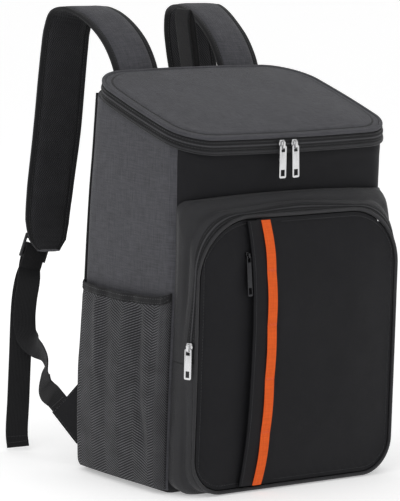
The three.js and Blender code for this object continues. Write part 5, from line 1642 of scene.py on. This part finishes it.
def make_tabs():
    """Cloth tabs that hold the webbing to the back seams"""
    corners = TAB_CORNERS
    steps = 16
    loops_outer, loops_inner, uv = [], [], []

    def tab_place(a, b):
        low = corners[0].lerp(corners[3], a)
        if a < 0.48:
            far = corners[0].lerp(corners[1], a / 0.48)
        elif a < 0.76:
            far = corners[1].lerp(corners[2], (a - 0.48) / 0.28)
        else:
            far = corners[2].lerp(corners[3], (a - 0.76) / 0.24)
        return low.lerp(Vector((far.x, far.y)), b)

    levels = [k / 50 for k in range(1, 50)]
    for a in levels:
        row_out, row_in, row_uv = [], [], []
        for k in range(steps + 1):
            p = tab_place(a, k / steps)
            edge = min(1, 4 * min(a, 1 - a), 3 * (1 - k / steps) + 0.15)
            half = TAB_THICKNESS / 2 * (0.72 + 0.28 * edge ** 0.5) - 0.25 * bell(k / steps, 0.86, 0.05)
            row_out.append(tab_point(p.x, p.y, half))
            row_in.append(tab_point(p.x, p.y, -half))
            row_uv.append((p.x, p.y))
        loops_outer.append(row_out)
        loops_inner.append(row_in)
        uv.append(row_uv)
    left = wall_piece("strap_tab_left_cloth", loops_outer, loops_inner, uv, sharp=60)
    right = paired_mesh(left, "right")
    for piece, side in ((left, "left"), (right, "right")):
        settle(piece, finish_of("black_cloth"), ["strap_tab_" + side])
        PIECES["strap_tab_" + side] = piece


METAL_PARTS = table("node finish bevel body", [
    ("lid_slider_left", "steel", 0.35, "pack"),
    ("lid_slider_right", "steel", 0.35, "pack"),
    ("pocket_slider", "steel", 0.35, "pack"),
    ("placket_slider", "dark_metal", 0.25, "pack"),
    ("lid_puller_left", "steel", 0.28, "lid_puller_left"),
    ("lid_puller_right", "steel", 0.28, "lid_puller_right"),
    ("pocket_puller", "steel", 0.28, "pocket_puller"),
    ("placket_puller", "dark_metal", 0.22, "placket_puller"),
])


def make_hardware():
    for side in ("left", "right"):
        node = "buckle_" + side
        settle(machined_piece(node + "_moulded", node, 0.7, 3), finish_of("buckle"), [node])
    for row in METAL_PARTS:
        node, finish = row["node"], row["finish"]
        piece = machined_piece(node + "_plated", node, row["bevel"])
        settle(piece, finish_of(finish), [node], row["body"])
        PIECES[node] = piece


TOOTH_PITCH, TOOTH_LENGTH, TOOTH_RISE = 1.5, 1.15, 0.7


def make_teeth():
    def teeth(name, line, width):
        # The teeth take the coil finish, whose lighter colour is a painted highlight
        bead_rows(name, [line], TOOTH_PITCH, TOOTH_LENGTH, width, TOOTH_RISE, finish_of("coil"), 0.0, 1)

    middle = ZIP_TOP - ZIP_HEIGHT / 2
    line = []
    for place in LID_OUTLINE[:HINGE_START + 1]:
        n = Vector((place[1].x, place[1].y, 0))
        line.append((lid_point(place, ZIP_PROUD + CHAIN_PROUD * 0.72, middle), n))
    teeth("lid_zip_teeth", line, ZIP_HEIGHT * 0.24)
    line = []
    for p in GUSSET_PATH[SEAM_RIGHT:SEAM_LEFT + 1]:
        point = gusset_point(p, p["length"] - ZIP_EDGE - POCKET_ZIP_WIDTH / 2, CHAIN_PROUD * 0.55)
        line.append((point, p["out"]))
    teeth("pocket_zip_teeth", line, POCKET_ZIP_WIDTH * 0.32)


def make_stitches():
    sizes = bpy.context.scene.cooler_sizes
    pitch, length = sizes.stitch_length / MM, sizes.stitch_length * 0.74 / MM
    width = sizes.thread_width / MM

    def rows(name, lines, finish="thread", pitch=pitch, length=length, width=width, seed=3):
        lines = [line for line in lines if len(line) > 1]
        return bead_rows(name, lines, pitch, length, width, width * 0.6, finish_of(finish), 0.15, seed)

    down = Vector((0, 0, -1))
    lid = surface_of(PIECES["lid_panel"])
    edge = [lid_dome(place, 0.955) for place in LID_OUTLINE]
    rows("lid_stitches", [laid(lid, edge + edge[:1], down)], "grey_thread")

    lines = []
    for side, direction in (("left", Vector((1, 0, 0))), ("right", Vector((-1, 0, 0)))):
        tree = surface_of(PIECES["side_panel_" + side])
        points = []
        for k in range(81):
            column = 1.6 + 6.6 * k / 80
            column = column if side == "left" else side_end(side) - column
            points.append(side_point(side, column, side_top(side, column) - 9.5))
        lines.append(laid(tree, points, direction))
    rows("side_stitches", lines, "thread", 3.6, 2.6, width * 1.25)

    back = surface_of(PIECES["back_panel"])
    lines = []
    for column in (1.4, side_end("back") - 1.4):
        points = [side_point("back", column, 30 + (side_top("back", column) - 45) * k / 60) for k in range(61)]
        lines.append(laid(back, points, Vector((0, -1, 0))))
    for share in (-1, 1):
        x = share * 0.19 * BODY_WIDTH * 1.02
        points = [Vector((x, BACK_Y, 60 + 300 * k / 60)) for k in range(61)]
        lines.append(laid(back, points, Vector((0, -1, 0))))
    rows("back_stitches", lines, "grey_thread")

    front = Vector((0, 1, 0))
    lines = []
    for node in ("pocket_panel_left", "pocket_panel_right"):
        tree = surface_of(PIECES[node])
        edge = POCKET_WIDTH / 2 - PANEL_INSET - 4.2
        start, stop = ((-edge, PANEL_SPLIT - 3) if node.endswith("left") else (PANEL_SPLIT + 34, edge))
        top, bottom = [], []
        for k in range(121):
            x = start + (stop - start) * (1 - math.cos(math.pi * k / 120)) / 2
            top.append(Vector((x, -130, panel_edge(min(edge, abs(x)) * 1.0, True) - 4.2)))
            bottom.append(Vector((x, -130, panel_edge(abs(x), False) + 4.2)))
        lines += [laid(tree, top, front), laid(tree, bottom, front)]
        x = -edge if node.endswith("left") else edge
        low, high = panel_edge(x, False) + 6, panel_edge(x, True) - 6
        upright = [Vector((x, -130, low + (high - low) * k / 60))
                   for k in range(61)]
        lines.append(laid(tree, upright, front))
    rows("pocket_stitches", lines, "grey_thread")

    path = GUSSET_PATH[SEAM_RIGHT:SEAM_LEFT + 1]
    lines = [[(gusset_point(p, p["length"] - ZIP_EDGE - inset, 0.25), p["out"]) for p in path]
             for inset in (1.4, POCKET_ZIP_WIDTH - 1.4)]
    for up in (ZIP_TOP - 1.5, ZIP_TOP - ZIP_HEIGHT + 1.5):
        lines.append([(lid_point(place, ZIP_PROUD + 0.2, up), Vector((place[1].x, place[1].y, 0)))
                      for place in LID_OUTLINE[:HINGE_START + 1]])
    rows("zip_stitches", lines, "grey_thread")

    placket = surface_of(PIECES["placket"])
    low, high = panel_edge(PLACKET_X, False) + 3, panel_edge(PLACKET_X, True) - 3
    left, right = PLACKET_X - PLACKET_WIDTH / 2, PLACKET_X + PLACKET_WIDTH / 2

    def on_placket(x, k, count=120):
        share = k / count
        z = low + (high - low) * share
        return Vector((x + PLACKET_WIDTH * between(PLACKET_LINE, "height", "shift", share), -140, z))

    seam = [on_placket(left + 2.6, k) for k in range(121)]
    rows("placket_stitches", [laid(placket, seam, front)], "grey_thread")

    accent = surface_of(PIECES["accent_strap"])
    height = high - low
    lines = []
    for k in range(int(height / ACCENT_PITCH) + 1):
        centre = low - 1 + ACCENT_PITCH * k
        for step in (-1.1, -0.35, 0.35, 1.1):
            share = min(0.998, max(0.002, (centre + step - low) / height))
            shift = PLACKET_WIDTH * between(PLACKET_LINE, "height", "shift", share)
            z = low + height * share
            points = [Vector((right - ACCENT_WIDTH * (0.93 - 0.86 * j / 8) + shift, -140, z)) for j in range(9)]
            lines.append(laid(accent, points, front, 0.1))
    rows("accent_tacks", lines, "accent_thread", 1.5, 1.3, 0.55)

    lines = []
    for side in ("left", "right"):
        tree = surface_of(PIECES["mesh_hem_" + side])
        direction = Vector((1 if side == "left" else -1, 0, 0))
        for up in (0.2, 0.72):
            points = []
            for k in range(121):
                forward = 0.01 + 0.98 * k / 120
                column = mesh_column(side, forward)
                z = mesh_top(forward) - HEM_HEIGHT * (1 - up)
                points.append(side_point(side, column, z, mesh_proud(forward, 1)))
            lines.append(laid(tree, points, direction, 0.1, 40))
    rows("hem_stitches", lines, "grey_thread")

    lines = []
    for mirror in (False, True):
        band = strap_band(160, 1 if mirror else 0)
        for s in (-0.83, 0.83):
            for h in (-0.68, 0.68):
                line = []
                for row in band.rows[2:-3]:
                    point = band.point(row, s, h)
                    outward = row["up"] * (1 if h > 0 else -1)
                    if mirror:
                        point = splayed(point)
                        outward = Vector((-outward.x, outward.y, outward.z))
                    line.append((point, outward))
                lines.append(line)
    rows("strap_stitches", lines, "grey_thread")

    lines = []
    webbing = lower_webbing_band(300)
    loop = loop_band(72)
    handle = handle_band(150)

    def across(band, at, pair=True):
        for sign in (-1, 1):
            row = min(band.rows, key=lambda r: abs(r["run"] - at))
            line = [(band.point(row, s / 10, sign * 1.12), row["up"] * sign) for s in range(-8, 9, 2)]
            lines.append(line)
            if pair:
                lines.append([(splayed(p), Vector((-n.x, n.y, n.z))) for p, n in line])

    for at in (3, webbing.length - 5, webbing.length - 12):
        across(webbing, at)
    for at in (6, 10, loop.length - 10, loop.length - 6):
        across(loop, at)
    for at in (6, 12, handle.length - 12, handle.length - 6):
        across(handle, at, False)
    rows("webbing_stitches", lines, "grey_thread", 1.8, 1.4)

    lines = []
    corners = TAB_CORNERS
    inner = sum(corners, Vector((0, 0))) / 4
    inset = [c.lerp(inner, 0.14) for c in corners]
    for sign in (-1, 1):
        outward = tab_point(0, 0, sign) - tab_point(0, 0, 0)
        line = []
        for a, b in zip(inset, inset[1:]):
            for k in range(12):
                q = a.lerp(b, k / 11)
                line.append((tab_point(q.x, q.y, sign * (TAB_THICKNESS / 2 - 0.1)), outward))
        lines.append(line)
        lines.append([(splayed(p), Vector((-n.x, n.y, n.z))) for p, n in line])
    rows("tab_stitches", lines, "grey_thread")


# Studio: lamps with their places and sizes in metres and power in watts, and the fitted camera

LAMPS = table("name place power size", [
    ("Key softbox", (-2.0, -1.3, 1.7), 9, (1.4, 1.4)),
    ("Top softbox", (-0.2, 0.1, 2.3), 4, (1.6, 1.6)),
    ("Front softbox", (0.9, -2.4, 1.2), 3, (1.2, 1.6)),
    ("Back softbox", (0.6, 2.2, 1.5), 5, (1.4, 1.4)),
])
LAMP_AIM = Vector((0, 0, 0.24))
CAMERA_SENSOR, CAMERA_LENS = 36, 233.11
CAMERA_PLACE = (-2.1278, -2.7997, 0.7391)
CAMERA_RIGHT = Vector((0.804, -0.5942, 0.0226))
CAMERA_UP = Vector((0.0656, 0.1263, 0.9898))
CAMERA_BACK = Vector((-0.591, -0.7943, 0.1405))


def make_studio():
    """Pale floor, soft lights and the camera at the photograph's angle"""
    scene = bpy.context.scene
    sizes = scene.cooler_sizes
    bpy.ops.mesh.primitive_grid_add(x_subdivisions=8, y_subdivisions=8, size=40, location=(0, 0, -0.0005))
    floor = bpy.context.object
    floor.name = "studio_floor"
    floor.data.materials.append(paper_floor("Pale paper", (0.93, 0.93, 0.93)))

    world = bpy.data.worlds.new("Studio")
    scene.world = world
    world.use_nodes = True
    world.node_tree.nodes["Background"].inputs["Color"].default_value = (1, 1, 1, 1)
    world.node_tree.nodes["Background"].inputs["Strength"].default_value = sizes.room_light

    def lamp(name, place, power, size):
        data = bpy.data.lights.new(name, "AREA")
        data.energy = power
        data.shape = "RECTANGLE"
        data.size, data.size_y = size
        light = bpy.data.objects.new(name, data)
        scene.collection.objects.link(light)
        light.location = place
        light.rotation_euler = (LAMP_AIM - Vector(place)).to_track_quat("-Z", "Y").to_euler()

    for row in LAMPS:
        lamp(row["name"], row["place"], row["power"], row["size"])

    camera_data = bpy.data.cameras.new("Camera")
    camera_data.sensor_width = CAMERA_SENSOR
    camera_data.lens = CAMERA_LENS
    camera_data.clip_end = 100
    camera = bpy.data.objects.new("Camera", camera_data)
    scene.collection.objects.link(camera)
    turn = Matrix((CAMERA_RIGHT, CAMERA_UP, CAMERA_BACK)).transposed().to_4x4()
    camera.matrix_world = Matrix.Translation(CAMERA_PLACE) @ turn
    scene.camera = camera
    scene.view_settings.view_transform = "Standard"


# Panel and operators

class CoolerSizes(bpy.types.PropertyGroup):
    weave_pitch: FloatProperty(
        name="Weave pitch", description="Distance between the yarns of the cloth", default=0.0008,
        unit="LENGTH", precision=5)
    stitch_length: FloatProperty(
        name="Stitch length", description="From one stitch to the next", default=0.0034,
        unit="LENGTH", precision=4)
    thread_width: FloatProperty(
        name="Thread width", description="Width of the sewing thread", default=0.00055,
        unit="LENGTH", precision=5)
    room_light: FloatProperty(
        name="Room light", description="Strength of the even white light of the studio", default=0.68)
    seed: IntProperty(name="Seed", description="Start of the unevenness of the stitches", default=3)


def colour_property(name, description, default):
    return FloatVectorProperty(
        name=name, description=description, default=default, subtype="COLOR", size=3, min=0, max=1)


class CoolerColours(bpy.types.PropertyGroup):
    grey_cloth: colour_property("Grey cloth", "Cloth of the sides, the lid and the straps", (0.07, 0.07, 0.079))
    black_cloth: colour_property("Black cloth", "Cloth of the front and the back", (0.0105, 0.0105, 0.0122))
    trim: colour_property("Trim", "Bindings, piping and hems", (0.012, 0.012, 0.0135))
    tape: colour_property("Zip tape", "Tapes and coils of the zips", (0.014, 0.014, 0.0155))
    mesh_gap: colour_property("Mesh gaps", "Gaps between the cords of the mesh", (0.005, 0.005, 0.006))
    mesh_cord: colour_property("Mesh cords", "Cords of the mesh", (0.1, 0.1, 0.108))
    accent: colour_property("Accent", "Webbing beside the upright zip", (0.98, 0.1, 0.02))
    webbing: colour_property("Webbing", "Straps below the buckles and the carrying loop", (0.007, 0.007, 0.008))
    buckle: colour_property("Buckle", "Plastic of the buckles", (0.022, 0.022, 0.024))
    steel: colour_property("Bright metal", "Sliders and pullers of the lid and the pocket", (0.72, 0.72, 0.73))
    dark_metal: colour_property("Dark metal", "Slider and puller of the upright zip", (0.05, 0.05, 0.053))
    thread: colour_property("Dark thread", "Thread of the sides", (0.01, 0.01, 0.011))
    grey_thread: colour_property("Grey thread", "Thread of all other seams", (0.03, 0.03, 0.033))


class BodyPanels(bpy.types.Operator):
    """Padded walls of the box, its base and its back piping"""
    bl_idname = "cooler.body_panels"
    bl_label = "Body panels"

    def execute(self, context):
        make_body()
        return {"FINISHED"}


class LidAndRim(bpy.types.Operator):
    """Domed lid with its piping, zip tape, hinge and the rim under it"""
    bl_idname = "cooler.lid_and_rim"
    bl_label = "Lid and rim"

    def execute(self, context):
        make_lid()
        return {"FINISHED"}


class FrontPocket(bpy.types.Operator):
    """Gussets, zip tape, piping and padded face of the front pocket"""
    bl_idname = "cooler.front_pocket"
    bl_label = "Front pocket"

    def execute(self, context):
        make_gussets()
        make_pocket_zip()
        make_pocket_panels()
        return {"FINISHED"}


class Placket(bpy.types.Operator):
    """Placket over the upright zip, and the accent webbing on it"""
    bl_idname = "cooler.placket"
    bl_label = "Placket and accent strap"

    def execute(self, context):
        make_placket()
        return {"FINISHED"}


class MeshPockets(bpy.types.Operator):
    """Gathered mesh pockets on the sides, with their hems"""
    bl_idname = "cooler.mesh_pockets"
    bl_label = "Mesh side pockets"

    def execute(self, context):
        for side in ("left", "right"):
            make_mesh_pocket(side)
        return {"FINISHED"}


class ShoulderStraps(bpy.types.Operator):
    """Padded shoulder straps with a bound edge and a mesh lining"""
    bl_idname = "cooler.shoulder_straps"
    bl_label = "Shoulder straps"

    def execute(self, context):
        make_strap()
        return {"FINISHED"}


class Webbing(bpy.types.Operator):
    """Webbing of the buckles, the tabs at the base and the carrying loop"""
    bl_idname = "cooler.webbing"
    bl_label = "Webbing and tabs"

    def execute(self, context):
        make_webbing()
        make_tabs()
        return {"FINISHED"}


class Hardware(bpy.types.Operator):
    """Buckles, and the sliders and pullers of the zips"""
    bl_idname = "cooler.hardware"
    bl_label = "Buckles and zip pulls"

    def execute(self, context):
        make_hardware()
        return {"FINISHED"}


class ZipTeeth(bpy.types.Operator):
    """Teeth of the zip coils"""
    bl_idname = "cooler.zip_teeth"
    bl_label = "Zip teeth"

    def execute(self, context):
        make_teeth()
        return {"FINISHED"}


class Stitching(bpy.types.Operator):
    """Stitch rows of the seams, and the bar tacks"""
    bl_idname = "cooler.stitching"
    bl_label = "Stitching"

    def execute(self, context):
        make_stitches()
        return {"FINISHED"}


class Studio(bpy.types.Operator):
    """Pale floor, soft lights and camera"""
    bl_idname = "cooler.studio"
    bl_label = "Studio"

    def execute(self, context):
        make_studio()
        return {"FINISHED"}


STEPS = [BodyPanels, LidAndRim, FrontPocket, Placket, MeshPockets, ShoulderStraps, Webbing, Hardware, ZipTeeth,
         Stitching, Studio]


class CoolerPanel(bpy.types.Panel):
    """Sizes, colours and steps of the cooler backpack"""
    bl_idname = "VIEW3D_PT_cooler_backpack"
    bl_label = "Cooler backpack"
    bl_space_type = "VIEW_3D"
    bl_region_type = "UI"
    bl_category = "Cooler backpack"

    def draw(self, context):
        layout = self.layout
        for group in (context.scene.cooler_sizes, context.scene.cooler_colours):
            for name in group.bl_rna.properties.keys():
                if name not in ("rna_type", "name"):
                    layout.prop(group, name)
        for step in STEPS:
            layout.operator(step.bl_idname)


CLASSES = [CoolerSizes, CoolerColours, *STEPS, CoolerPanel]


def register():
    for one in CLASSES:
        bpy.utils.register_class(one)
    bpy.types.Scene.cooler_sizes = PointerProperty(type=CoolerSizes)
    bpy.types.Scene.cooler_colours = PointerProperty(type=CoolerColours)


def unregister():
    del bpy.types.Scene.cooler_colours
    del bpy.types.Scene.cooler_sizes
    for one in reversed(CLASSES):
        bpy.utils.unregister_class(one)


def main():
    register()
    for step in STEPS:
        group, name = step.bl_idname.split(".")
        if getattr(getattr(bpy.ops, group), name)() != {"FINISHED"}:
            raise RuntimeError(step.bl_label + " did not finish")


if __name__ == "__main__":
    main()
